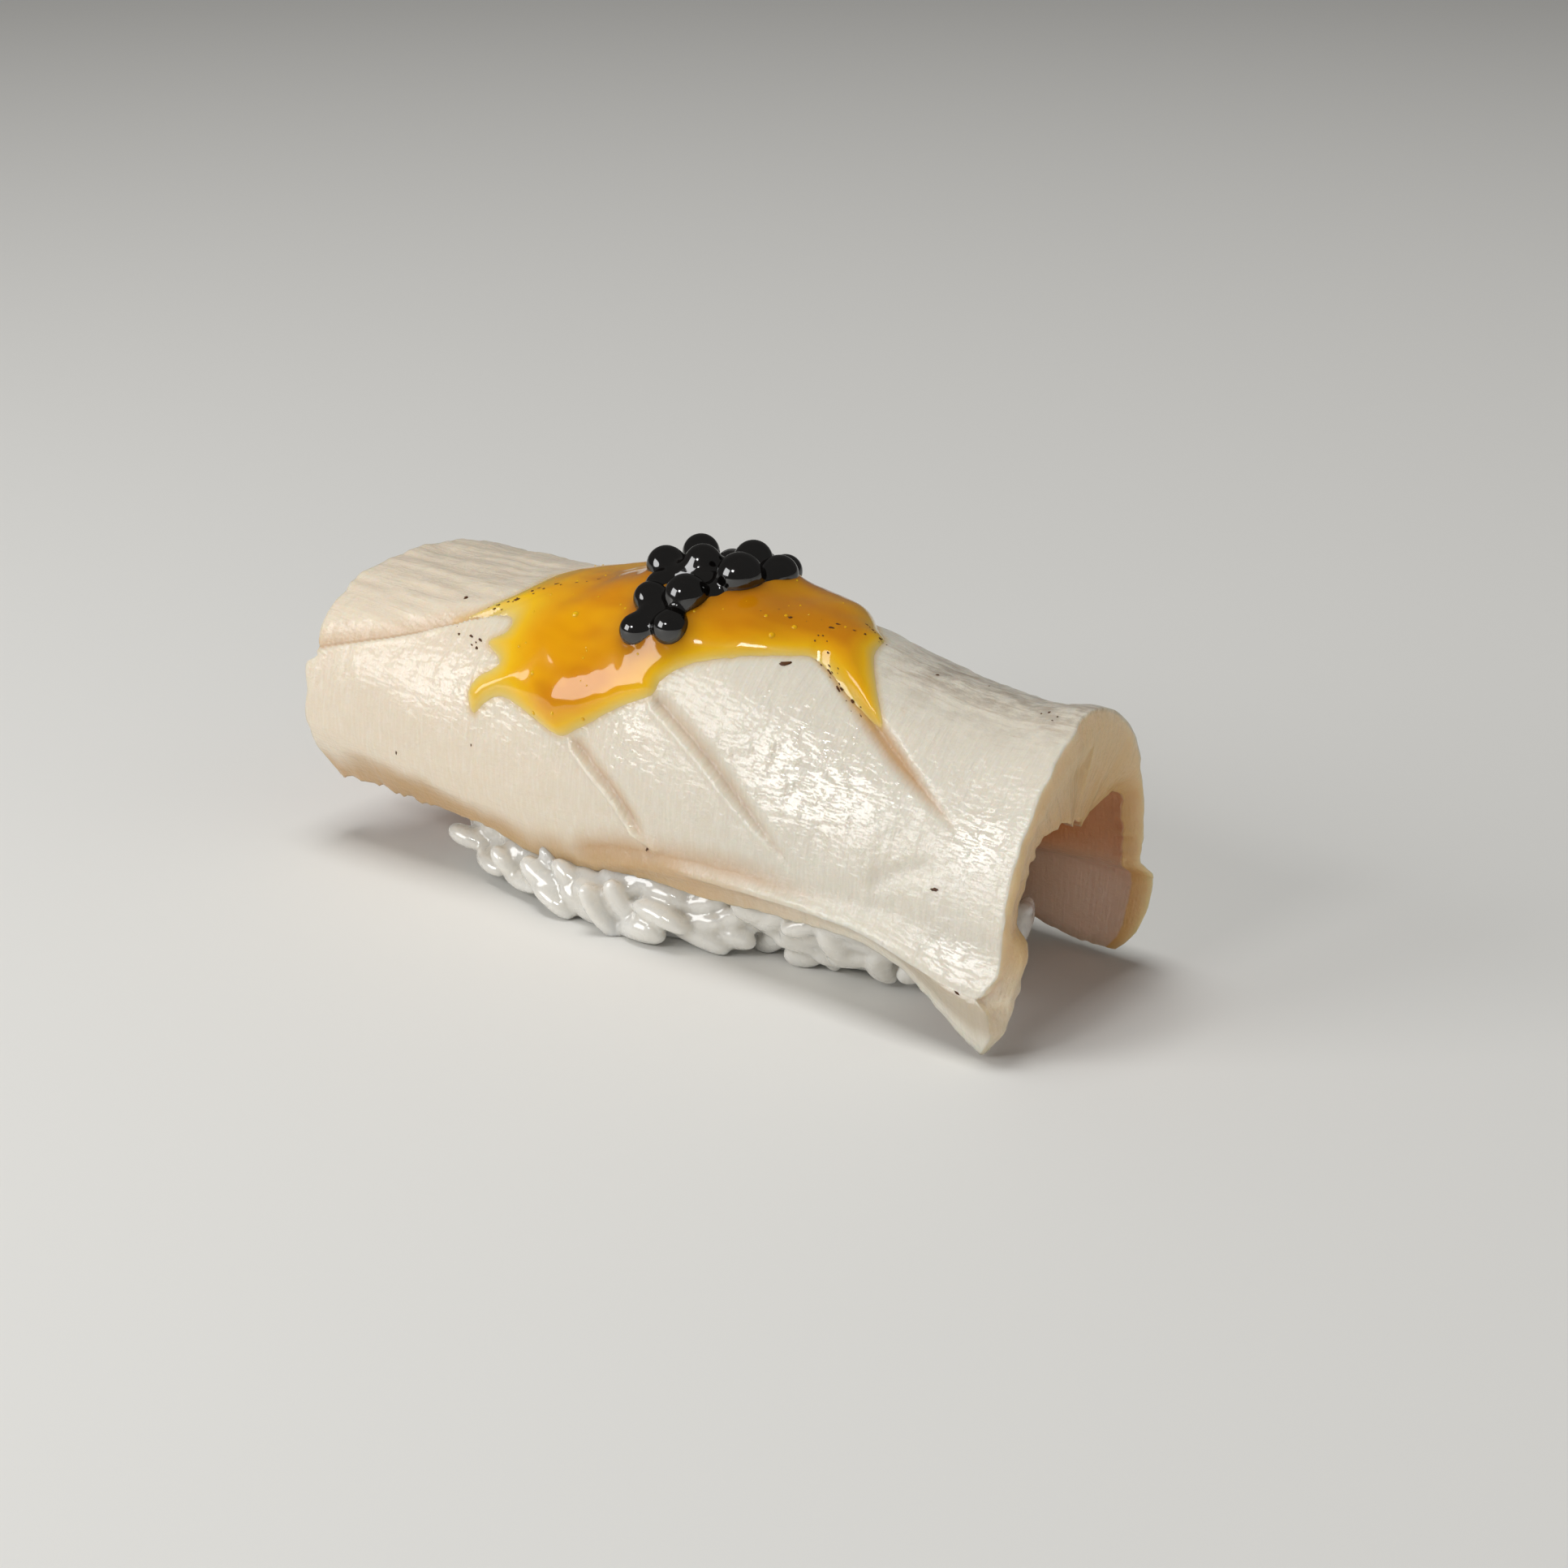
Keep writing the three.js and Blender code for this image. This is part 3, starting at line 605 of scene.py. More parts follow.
def glaze_inset(x, share):
    """How far inside the edge of the glaze pool points of the slice lie. It is negative outside."""
    outline = np.array(GLAZE_OUTLINE + GLAZE_OUTLINE[:1]) * (1, SECTION_LENGTH)
    start = spline(outline, GLAZE_STEPS * len(GLAZE_OUTLINE) + 1)[:-1]
    end = np.roll(start, -1, axis=0)
    run = end - start
    inset = []
    for points in np.array_split(stack(x, share * SECTION_LENGTH), GLAZE_BATCHES):
        step = points[:, None] - start
        place = clamp01((step * run).sum(-1) / (run**2).sum(-1))
        gap = np.linalg.norm(step - place[..., None] * run, axis=-1).min(1)
        beside = (start[:, 1] > points[:, None, 1]) != (end[:, 1] > points[:, None, 1])
        slope = run[:, 0] / np.where(run[:, 1] == 0, 1, run[:, 1])
        crossed = beside & (step[..., 0] < slope * step[..., 1])
        inset.append(np.where(crossed.sum(1) % 2 == 1, gap, -gap))
    return np.concatenate(inset)


def meniscus(base):
    """How far the glaze climbs at points of the slice, from 0 away from the pearls to 1 beside them."""
    free = np.ones(len(base))
    for x, share, radius, _ in ROE:
        up = slice_normal(x, share)
        step = base - slice_point(x, share)
        beside = np.linalg.norm(step - (step @ up)[:, None] * up, axis=1)
        free *= 1 - np.exp(-np.maximum(beside - MENISCUS.foot * radius, 0) / MENISCUS.reach)
    return 1 - free


def glaze_lift(x, share):
    """Height of the glaze over the plain slice, its thickness, climb and inset, and the flesh's height."""
    base = slice_point(x, share)
    inset = glaze_inset(x, share)
    flesh, _ = form(x, share)
    run = mix(GLAZE.crisp_run, GLAZE.soft_run, smooth(GLAZE.soft_span, x))
    within = np.maximum(inset, 0)
    thick = GLAZE.thickness * (1 - np.exp(-within / run))
    wavy = thick * (1 + sum(rough(wave, base) for wave in GLAZE.waves))
    outside = GLAZE.drop * (1 - np.exp(np.minimum(inset, 0) / GLAZE.drop_run))
    climb = meniscus(base) * smooth((0, GLAZE.fill_run), inset)
    follow = 1 - GLAZE.groove_fill * smooth((0, GLAZE.fill_run), inset)
    return flesh * follow + wavy - outside + MENISCUS.height * climb, thick, climb, inset, flesh


# Meshes


def grid_faces(index):
    """Quads between the neighbours in a table of vertex numbers."""
    corners = [index[:-1, :-1], index[1:, :-1], index[1:, 1:], index[:-1, 1:]]
    return np.stack(corners, axis=-1).reshape(-1, 4).tolist()


def row_faces(outer, inner):
    """Faces between two rows of vertices. The inner row has as many as the outer one, or every other."""
    corners = [outer[:-1], inner[:-1], inner[1:], outer[1:]]
    if len(inner) < len(outer):
        corners = [outer[:-2:2], inner[:-1], inner[1:], outer[2::2], outer[1:-1:2]]
    return np.stack(corners, axis=-1).tolist()


def unit_ball(size):
    """A ball of radius 1 with its poles on X: each point's angle from its pole and round it, and faces."""
    rings, sides = size.rings, size.sides
    polar = np.repeat(np.linspace(0, np.pi, rings + 1)[1:-1], sides)
    around = np.tile(np.arange(sides) * 2 * np.pi / sides, rings - 1)
    index = 1 + np.arange((rings - 1) * sides).reshape(rings - 1, sides)
    index = np.hstack([index, index[:, :1]])
    last = index.max() + 1
    caps = [(0, a, b) for a, b in zip(index[0], index[0, 1:])]
    caps += [(last, b, a) for a, b in zip(index[-1], index[-1, 1:])]
    faces = grid_faces(index) + [[int(v) for v in face] for face in caps]
    return np.concatenate([[0], polar, [np.pi]]), np.concatenate([[0], around, [0]]), faces


def ball_points(polar, around):
    return stack(np.cos(polar), np.sin(polar) * np.cos(around), np.sin(polar) * np.sin(around))


def ball_mesh(size):
    polar, around, faces = unit_ball(size)
    return ball_points(polar, around), faces


def join_copies(copies, faces):
    """Copies of one shape as a single mesh: all their points, and their faces numbered through."""
    count = len(copies[0])
    joined = [[v + k * count for v in face] for k in range(len(copies)) for face in faces]
    return np.vstack(copies), joined


def make_piece(name, points, faces, material, masks):
    """A smooth piece that rides on the object's body, with named values at each vertex."""
    mesh = bpy.data.meshes.new(name)
    mesh.from_pydata((points * MM).tolist(), [], faces)
    mesh.shade_smooth()
    for key, values in masks.items():
        if values.ndim == 1:
            mesh.attributes.new(key, "FLOAT", "POINT").data.foreach_set("value", values)
        else:
            mesh.attributes.new(key, "FLOAT_VECTOR", "POINT").data.foreach_set("vector", values.ravel())
    mesh.materials.append(material)
    piece = bpy.data.objects.new(name, mesh)
    bpy.context.scene.collection.objects.link(piece)
    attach(piece, BODY)
    return piece


def shell_labels(count, faces):
    """A number for each vertex of a mesh that is the same all over each of its separate shells."""
    label = np.arange(count)
    while True:
        lowest = label.copy()
        np.minimum.at(lowest, faces, label[faces].min(1, keepdims=True))
        lowest = lowest[lowest]
        if np.array_equal(lowest, label):
            return label
        label = lowest


def merged(points, faces, merge):
    """The outside of shapes that overlap as one even, softened mesh, without small hollows inside it."""
    mesh = bpy.data.meshes.new("merge")
    mesh.from_pydata((points * MM).tolist(), [], faces)
    shapes = bpy.data.objects.new("merge", mesh)
    bpy.context.scene.collection.objects.link(shapes)
    union = shapes.modifiers.new("union", "REMESH")
    union.mode = "VOXEL"
    union.voxel_size = merge.voxel * MM
    soften = shapes.modifiers.new("soften", "SMOOTH")
    soften.factor = merge.smoothing
    soften.iterations = merge.rounds
    outside = shapes.evaluated_get(bpy.context.evaluated_depsgraph_get()).to_mesh()
    outside_points = np.array([vertex.co for vertex in outside.vertices]) / MM
    outside_faces = np.array([list(face.vertices) for face in outside.polygons])
    bpy.data.objects.remove(shapes)
    label = shell_labels(len(outside_points), outside_faces)
    kept = np.bincount(label)[label] > merge.least_shell
    number = np.cumsum(kept) - 1
    return outside_points[kept], number[outside_faces[kept[outside_faces[:, 0]]]].tolist()


# Slice of fish


def slice_ends(share, depth):
    """Where the slice ends: a ragged far end with the notch of the first score, and a stepped near end."""
    slant = np.abs(share) ** SLANT_POWER
    far_slant = np.where(share < 0, BACK.far_slant, FRONT.far_slant) * slant
    near_slant = np.where(share < 0, BACK.near_slant, FRONT.near_slant) * slant
    place = stack(share * SECTION_LENGTH, depth * END_GRAIN, 0)
    notch = FAR_NOTCH.depth * bump(share, FAR_NOTCH.share, FAR_NOTCH.spread)
    outer_steps = np.interp(share, *np.array(NEAR_STEPS).T)
    inner_steps = np.interp(share, *np.array(NEAR_INNER_STEPS).T)
    inward = np.where(share < 0, smooth(NEAR_LAYERS.back, depth), smooth(NEAR_LAYERS.front, depth))
    steps = mix(outer_steps, inner_steps, inward)
    far = FAR_END + far_slant + rough(FAR_RAGGED, place) + notch
    return far, NEAR_END + near_slant + rough(NEAR_RAGGED, place) + steps


def flesh_points(along, share, depth):
    """Points of the flesh by their share of its length, of its section and of its thickness."""
    far, near = slice_ends(share, depth)
    dome = END_DOME * np.sin(np.pi * depth)
    x = mix(far - dome * (along == 0), near + dome * (along == 1), along)
    ragged = rough(INNER_RAGGED, stack(share * SECTION_LENGTH, 0, 1)) * smooth(INNER_RAGGED.span, along)
    side_flare = np.where(share < 0, NEAR_FLARE.back, NEAR_FLARE.front)
    front_part = smooth(NEAR_FLARE.front_shares, share)
    back_part = smooth(NEAR_FLARE.back_shares, -share)
    flare = mix(NEAR_FLARE.crown, side_flare, np.maximum(front_part, back_part))
    flare *= smooth(NEAR_FLARE.span, along)
    lift, groove = form(x, share)
    lift += texture(x, share)
    points = slice_point(x, share, depth * (1 + ragged + flare))
    recess = STRIP_RECESS.depth * smooth(STRIP_RECESS.shares, share)
    recess *= smooth(STRIP_RECESS.span, x) * smooth(STRIP_RECESS.end_span, x)
    points += slice_normal(x, share) * (lift * (1 - depth) ** 2 - recess)[:, None]
    hem_noise = noise(stack(x, np.sign(share) * HEM_RAGGED.size, 0), HEM_RAGGED.size, HEM_RAGGED.seed)
    hem_swing = mix(HEM_RAGGED.least, HEM_RAGGED.reach, smooth(HEM_RAGGED.span, x))
    points[:, 2] += hem_swing * hem_noise * strip_share(share) ** HEM_RAGGED.power
    points[:, 2] = np.maximum(points[:, 2], FLOOR_CLEAR)
    return points, x, groove * (1 - depth)


def flesh_masks(points, x, along, share, depth, groove):
    """Values at the vertices of the flesh that say where its tones lie and how wet it is."""
    at_end = (along == 0) | (along == 1)
    down = np.abs(share)
    outside = 1 - depth
    crown_share = mix(CROWN_FIBRES.share, CROWN_FIBRES.far_share, smooth(CROWN_FIBRES.far_span, x))
    crease_tan_shade_top = np.interp(x, *np.array(CREASE_TAN_SHADE_TOP).T) + rough(CREASE_TAN_SHADE, points)
    low_loss = np.where(share < 0, INSIDE_SHADE_FADE.back_loss, INSIDE_SHADE_FADE.front_loss)
    low_fade = 1 - low_loss * smooth(INSIDE_SHADE_FADE.shares, down)
    near_fade = 1 - INSIDE_SHADE_FADE.near_loss * smooth(INSIDE_SHADE_FADE.near_span, along)
    cut_fade = 1 - CUT_FADE.loss * smooth(CUT_FADE.shares, share)
    shade_start, shade_full, shade_fall, shade_end = STRIP_SHADE.shares
    shade = smooth((shade_start, shade_full), share) * smooth((shade_end, shade_fall), share)
    return {
        # tan of the scores, partly painted shade
        "groove": groove,
        "cool": smooth(COOL_SPAN, x),
        # tan along the crease, partly painted shade
        "crease_tan_shade": smooth((crease_tan_shade_top, crease_tan_shade_top + CREASE_TAN_SHADE.soft), down) * smooth(CREASE_TAN_SHADE.span, x) * outside,
        "cut": np.where(at_end, smooth(CUT_RIM, depth), 0.0) * cut_fade,
        "deep": depth,
        # brown painted shade of the hollow inside
        "inside": np.where(at_end, 0.0, depth) * low_fade * near_fade,
        # painted shade on the back wall's cut face
        "back_cut_shade": np.where(at_end, depth * smooth(BACK_CUT_SHADE, -share), 0.0),
        "shade": shade * smooth(STRIP_SHADE.span, x) * outside,
        "crown": smooth((crown_share + CROWN_FIBRES.soft, crown_share - CROWN_FIBRES.soft), down),
        "wet": wetness(x, share),
        # scorched near crown, partly painted shade
        "scorch_and_shade": smooth(SCORCH_AND_SHADE.span, x) * bump(share, SCORCH_AND_SHADE.share, SCORCH_AND_SHADE.spread) * outside,
        "stain": smooth(STAIN_SPAN, glaze_inset(x, share)) * outside,
        "fibre": stack(x, share * SECTION_LENGTH, depth * END_GRAIN),
    }


def build_fish(material):
    """The flesh as rings round the slice, with caps that go from fine to coarse halfway through it."""
    back = np.linspace(-1, 0, FLESH_CELLS.back + 1)
    front = np.linspace(0, 1, FLESH_CELLS.front + 1)
    fine = np.concatenate([back[:-1], front])
    coarse = fine[::2]
    between = FLESH_DEPTHS[1:-1]
    front_hem = len(fine)
    inner = front_hem + len(between)
    back_hem = inner + len(coarse)
    ring_share = np.concatenate([fine, np.ones(len(between)), coarse[::-1], -np.ones(len(between))])
    ring_depth = np.concatenate([np.zeros(len(fine)), between, np.ones(len(coarse)), between[::-1]])
    stations = np.linspace(0, 1, FLESH_CELLS.along + 1)
    rings = np.arange(len(stations) * len(ring_share)).reshape(len(stations), -1)
    along = [np.repeat(stations, len(ring_share))]
    share = [np.tile(ring_share, len(stations))]
    depth = [np.tile(ring_depth, len(stations))]
    faces = grid_faces(np.hstack([rings, rings[:, :1]]).T)

    count = rings.size
    for end, ring in ((0.0, rings[0]), (1.0, rings[-1])):
        rows = [ring[:front_hem]]
        for level, at_front, at_back in zip(between, ring[front_hem:inner], ring[back_hem:][::-1]):
            columns = (fine if level < FINE_DEPTH else coarse)[1:-1]
            rows.append(np.concatenate([[at_back], count + np.arange(len(columns)), [at_front]]))
            count += len(columns)
            along.append(np.full(len(columns), end))
            share.append(columns)
            depth.append(np.full(len(columns), level))
        rows.append(ring[inner:back_hem][::-1])
        cap = [face for pair in zip(rows, rows[1:]) for face in row_faces(*pair)]
        faces += [face[::-1] for face in cap] if end else cap

    along, share, depth = (np.concatenate(values) for values in (along, share, depth))
    points, x, groove = flesh_points(along, share, depth)
    masks = flesh_masks(points, x, along, share, depth, groove)
    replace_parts(make_piece("flesh", points, faces, material, masks), "fish")


# Rice


def rice_bulge(side, x):
    to_near = mix(side.middle, side.near, smooth(RICE_BULGE.near_span, x))
    return to_near + (side.far - side.middle) * smooth(RICE_BULGE.far_span, x)


def rice_point(along, turn, out):
    """A point of the block: along it, round its section from top to underside, and out from its axis."""
    middle = (RICE.near_end + RICE.far_end) / 2
    half_length = (RICE.near_end - RICE.far_end) / 2
    x = middle + half_length * along
    away = np.where(turn < 0, 1, -1)
    around = np.abs(turn)
    half_width = np.where(turn < 0, rice_bulge(RICE_BULGE.back, x), rice_bulge(RICE_BULGE.front, x))
    arch = slice_point(x, np.sign(turn) * clamp01(around / RICE.arch_turn), RICE.arch_depth)
    bulge = stack(x, half_width * away, RICE.bulge_height)
    foot = stack(x, (half_width - RICE.foot_inset) * away, -RICE.under_floor)
    under = stack(x, 0, -RICE.under_floor)
    side = through((RICE.arch_turn, RICE.bulge_turn), around)
    low = through((RICE.bulge_turn, RICE.foot_turn), around)
    inward = through((RICE.foot_turn, 1), around)
    ring = mix(mix(mix(arch, bulge, side[:, None]), foot, low[:, None]), under, inward[:, None])
    shrink = 1 - RICE.end_shrink * np.abs(along) ** RICE.end_shrink_power
    point = mix(stack(x, 0, RICE.centre_height), ring, (out * shrink)[:, None])
    dome = RICE.end_dome * (1 - out**2) * np.sign(along) * (np.abs(along) == 1)
    lean = RICE.near_lean * np.maximum(point[:, 2] - RICE.lean_from, 0) * clamp01(along)
    point[:, 0] += dome - lean
    return point


def rice_core():
    """The block inside its grains, as a ball whose poles are its ends and whose Z side is its top."""
    polar, around, faces = unit_ball(RICE_CORE)
    place = polar / np.pi
    along = np.clip(1 - 2 * (place - RICE_CORE.cap) / (1 - 2 * RICE_CORE.cap), -1, 1)
    out = np.minimum(np.minimum(place, 1 - place) / RICE_CORE.cap, 1)
    turn = (around / np.pi + 1 / 2) % 2 - 1
    return rice_point(along, turn, out * RICE_CORE.out), faces


def grain_shape():
    """A plump grain with half-sizes of 1, a little bent and slimmer at one end."""
    polar, around, faces = unit_ball(GRAIN)
    points = ball_points(polar, around)
    wide = np.maximum(np.sin(polar), NUDGE) ** (GRAIN_SHAPE.blunt - 1)
    wide *= 1 - GRAIN_SHAPE.slim * points[:, 0]
    points[:, 1:] *= wide[:, None]
    points[:, 1] += GRAIN_SHAPE.bend * (points[:, 0] ** 2 - GRAIN_SHAPE.bend_rest)
    return points, faces


def grain_places(random):
    """Where grains lie on the block, as along, turn and out."""
    places = []
    for side in (1, -1):
        for row, turn in enumerate(SIDE_GRAINS.turns):
            for column in range(SIDE_GRAINS.columns):
                shift = random.uniform(-SIDE_GRAINS.shift, SIDE_GRAINS.shift)
                step = column + SIDE_GRAINS.stagger * (row % 2) + shift
                wobble = random.uniform(-SIDE_GRAINS.jitter, SIDE_GRAINS.jitter)
                along = 2 * step / (SIDE_GRAINS.columns - SIDE_GRAINS.stagger) - 1
                places.append((along, side * (turn + wobble), 1.0))
    for end in (1, -1):
        for reach in END_GRAINS.reaches:
            for column in range(END_GRAINS.columns):
                shift = random.uniform(-END_GRAINS.shift, END_GRAINS.shift)
                step = (column + 1 / 2 + shift) / END_GRAINS.columns
                places.append((end, END_GRAINS.turns * (2 * step - 1), reach))
    return np.clip(np.array(places), -1, 1)


def rice_grains(random):
    shape, faces = grain_shape()
    places = grain_places(random)
    here = rice_point(*places.T)
    heart = here * (GRAIN_HEART.along, GRAIN_HEART.across, 1)
    heart[:, 2] = mix(RICE.centre_height, here[:, 2], GRAIN_HEART.up)
    outward = unit(here - heart)
    spin = random.normal(size=here.shape) * GRAIN_LIE
    lengthwise = unit(spin - (spin * outward).sum(-1, keepdims=True) * outward)
    crosswise = np.cross(outward, lengthwise)
    sizes = np.array([GRAIN.length, GRAIN.width, GRAIN.thickness])
    scales = sizes * (1 + GRAIN.vary * random.uniform(-1, 1, here.shape))
    lifts = random.uniform(*GRAIN_LIFT, len(here))
    grains = []
    for k, centre in enumerate(here):
        basis = np.stack([lengthwise[k], crosswise[k], outward[k]])
        grains.append((shape * scales[k]) @ basis + centre + outward[k] * lifts[k])
    for centre, way in LOOSE_GRAINS:
        along = unit(np.array(way))
        across = unit(np.cross((0, 0, 1), along))
        grains.append((shape * sizes) @ np.stack([along, across, np.cross(along, across)]) + centre)
    return join_copies(grains, faces)


def build_rice(material):
    random = np.random.default_rng(RICE_SEED)
    core, core_faces = rice_core()
    grains, grain_faces = rice_grains(random)
    faces = core_faces + [[v + len(core) for v in face] for face in grain_faces]
    points, faces = merged(np.vstack([core, grains]), faces, RICE_MERGE)
    points[:, 2] = np.maximum(points[:, 2], FLOOR_CLEAR)
    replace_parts(make_piece("rice_grains", points, faces, material, {}), "rice")


# Glaze


def build_glaze(material):
    """The pool as a skin over the flesh. Its edge dives under the flesh, and an underside closes it."""
    x_line = np.linspace(*GLAZE_CELLS.x)
    share_line = np.linspace(*GLAZE_CELLS.share)
    x, share = (values.ravel() for values in np.meshgrid(x_line, share_line, indexing="ij"))
    lift, thick, climb, inset, flesh = glaze_lift(x, share)
    index = np.arange(len(x)).reshape(len(x_line), len(share_line))
    wet = inset.reshape(index.shape) > -GLAZE.reach
    kept = wet[:-1, :-1] & wet[1:, :-1] & wet[1:, 1:] & wet[:-1, 1:]
    cells = np.stack([index[:-1, :-1], index[:-1, 1:], index[1:, 1:], index[1:, :-1]], axis=-1)
    used = np.unique(cells[kept])
    number = np.zeros(len(x), int)
    number[used] = np.arange(len(used))
    cells = number[cells]
    upper = cells[kept]
    lower = upper[:, ::-1] + len(used)
    padded = np.pad(kept, 1)
    beside = [padded[:-2, 1:-1], padded[1:-1, 2:], padded[2:, 1:-1], padded[1:-1, :-2]]
    walls = []
    for side, neighbour in enumerate(beside):
        edge = kept & ~neighbour
        start, end = cells[edge, side], cells[edge, (side + 1) % len(beside)]
        walls.append(np.stack([end, start, start + len(used), end + len(used)], axis=-1))
    faces = np.concatenate([upper, lower, *walls]).tolist()

    below = np.minimum(flesh, lift) - GLAZE.under
    points = np.vstack([above(x[used], share[used], height[used]) for height in (lift, below)])
    brown = smooth(BROWN_SPAN, x) * thick / GLAZE.thickness
    masks = {"thick": thick / GLAZE.thickness, "climb": climb, "brown": brown}
    masks = {key: np.tile(values[used], 2) for key, values in masks.items()}
    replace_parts(make_piece("glaze_pool", points, faces, material, masks), "glaze")


def build_bubbles(material):
    random = np.random.default_rng(SMALL_BUBBLES.seed)
    bubbles = list(BUBBLES)
    while len(bubbles) < len(BUBBLES) + SMALL_BUBBLES.count:
        x = random.uniform(*GLAZE_CELLS.x[:2])
        share = random.uniform(*GLAZE_CELLS.share[:2])
        radius = random.uniform(SMALL_BUBBLES.smallest, SMALL_BUBBLES.largest)
        if glaze_inset(np.array([x]), np.array([share]))[0] > GLAZE.soft_run:
            bubbles.append((x, share, radius))
    x, share, radius = np.array(bubbles).T
    lift = glaze_lift(x, share)[0]
    centres = above(x, share, lift - BUBBLE.sink * radius)
    ball, faces = ball_mesh(BUBBLE)
    points, faces = join_copies([centre + ball * size for centre, size in zip(centres, radius)], faces)
    plain = np.zeros(len(points))
    masks = {"thick": plain + BUBBLE.tone, "climb": plain, "brown": plain}
    make_piece("glaze_bubbles", points, faces, material, masks)


# Roe


def wrap_balls(points, centres, radii):
    """Moves points onto the skin round balls, which webs those that are close to each other."""
    for _ in range(ROE_WRAP.rounds):
        step = points[:, None] - centres
        gap = np.linalg.norm(step, axis=-1)
        weight = np.exp((radii - gap) / ROE_WRAP.web)
        total = weight.sum(1)
        beyond = -ROE_WRAP.web * np.log(total)
        slope = ((weight / gap)[..., None] * step).sum(1) / total[:, None]
        steepness = np.maximum((slope**2).sum(-1), ROE_WRAP.least_slope)
        points = points - slope * (beyond / steepness)[:, None]
    return points


def build_roe(material):
    ball, faces = ball_mesh(ROE_BALL)
    x, share, radii, seat = np.array(ROE + LOW_ROE).T
    centres = above(x, share, seat + radii)
    pearls = [centre + ball * (radius + ROE_MERGE.swell) for centre, radius in zip(centres, radii)]
    points, faces = merged(*join_copies(pearls, faces), ROE_MERGE)
    points = wrap_balls(points, centres, radii)
    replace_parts(make_piece("roe_pearls", points, faces, material, {}), "caviar")


# Char flecks


def fleck_places(random):
    """Flecks as x, share, radius, and the step along their line in x and share."""
    places = [(*fleck, *random.normal(size=2) * (1, 1 / SECTION_LENGTH)) for fleck in FLECKS]
    for points, count in FLECK_LINES:
        line = spline(points, count)
        steps = np.gradient(line, axis=0)
        spread = random.normal(size=line.shape) * (FLECK.spread, FLECK.spread / SECTION_LENGTH)
        radius = FLECK.typical * np.exp(FLECK.vary * random.normal(size=count))
        radius = np.minimum(radius, FLECK.largest)
        places += np.hstack([line + spread, radius[:, None], steps]).tolist()
    return np.array(places)


def build_flecks(material):
    random = np.random.default_rng(FLECK_SEED)
    x, share, radius, step_x, step_share = fleck_places(random).T
    flesh, _ = form(x, share)
    lift = np.maximum(flesh, glaze_lift(x, share)[0])
    normal = slice_normal(x, share)
    here = slice_point(x, share)
    lengthwise = unit(slice_point(x + NUDGE * step_x, share + NUDGE * step_share) - here)
    crosswise = np.cross(normal, lengthwise)
    ball, faces = ball_mesh(FLECK)
    flecks = []
    for k, middle in enumerate(above(x, share, lift)):
        crag = 1 + FLECK.lumps * random.uniform(-1, 1, (len(ball), 1))
        sizes = radius[k] * np.array([random.uniform(1, FLECK.longest), 1, FLECK.flat])
        basis = np.stack([lengthwise[k], crosswise[k], normal[k]])
        flecks.append((ball * crag * sizes) @ basis + middle)
    points, faces = join_copies(flecks, faces)
    make_piece("char_flecks", points, faces, material, {})


# Materials


def colour(code):
    """A hex colour as linear red, green, blue and alpha, by the sRGB curve."""
    levels = [int(code[k:k + 2], 16) / 255 for k in (0, 2, 4)]
    linear = [level / 12.92 if level <= 0.04045 else ((level + 0.055) / 1.055) ** 2.4 for level in levels]
    return (*linear, 1.0)


class Look:
    """A material's nodes, with short ways to add and join them."""

    def __init__(self, name, inputs):
        self.material = bpy.data.materials.new(name)
        self.material.use_nodes = True
        self.tree = self.material.node_tree
        self.shader = self.tree.nodes["Principled BSDF"]
        self.fill(self.shader, inputs)

    def fill(self, node, inputs):
        for name, value in inputs.items():
            if isinstance(value, bpy.types.NodeSocket):
                self.tree.links.new(value, node.inputs[name])
            else:
                node.inputs[name].default_value = value

    def add(self, kind, inputs, output=0, **settings):
        node = self.tree.nodes.new(kind)
        for name, value in settings.items():
            setattr(node, name, value)
        self.fill(node, inputs)
        return node.outputs[output]

    def mask(self, name):
        return self.add("ShaderNodeAttribute", {}, "Fac", attribute_name=name)

    def vector(self, name):
        return self.add("ShaderNodeAttribute", {}, "Vector", attribute_name=name)

    def place(self):
        return self.add("ShaderNodeTexCoord", {}, "Object")

    def stretch(self, vector, scale):
        return self.add("ShaderNodeMapping", {"Vector": vector, "Scale": scale})

    def noise(self, vector, scale, detail=3.0, roughness=0.55):
        inputs = {"Vector": vector, "Scale": scale, "Detail": detail, "Roughness": roughness}
        return self.add("ShaderNodeTexNoise", inputs, "Fac")

    def spread(self, value, low, high, to_low=0.0, to_high=1.0):
        inputs = {"Value": value, "From Min": low, "From Max": high, "To Min": to_low, "To Max": to_high}
        return self.add("ShaderNodeMapRange", inputs, "Result")

    def times(self, a, b):
        return self.add("ShaderNodeMath", {0: a, 1: b}, operation="MULTIPLY")

    def mix(self, share, a, b):
        return self.add("ShaderNodeMixRGB", {"Fac": share, "Color1": a, "Color2": b})

    def layers(self, tint, tones, patterns=None):
        """The tint under layers of tone, each spread by the pattern or else the mask of its name."""
        for name, (code, cover) in tones.items():
            share = patterns[name] if patterns and name in patterns else self.mask(name)
            tint = self.mix(self.times(share, cover), tint, colour(code))
        return tint

    def bump(self, height, distance, normal=None):
        inputs = {"Height": height, "Distance": distance}
        if normal:
            inputs["Normal"] = normal
        return self.add("ShaderNodeBump", inputs)

    def ramp(self, value, stops):
        node = self.tree.nodes.new("ShaderNodeValToRGB")
        self.fill(node, {"Fac": value})
        elements = node.color_ramp.elements
        while len(elements) < len(stops):
            elements.new(1.0)
        for element, (position, code) in zip(elements, stops):
            element.position = position
            element.color = colour(code)
        return node.outputs["Color"]

    def finish(self, inputs):
        self.fill(self.shader, inputs)
        return self.material


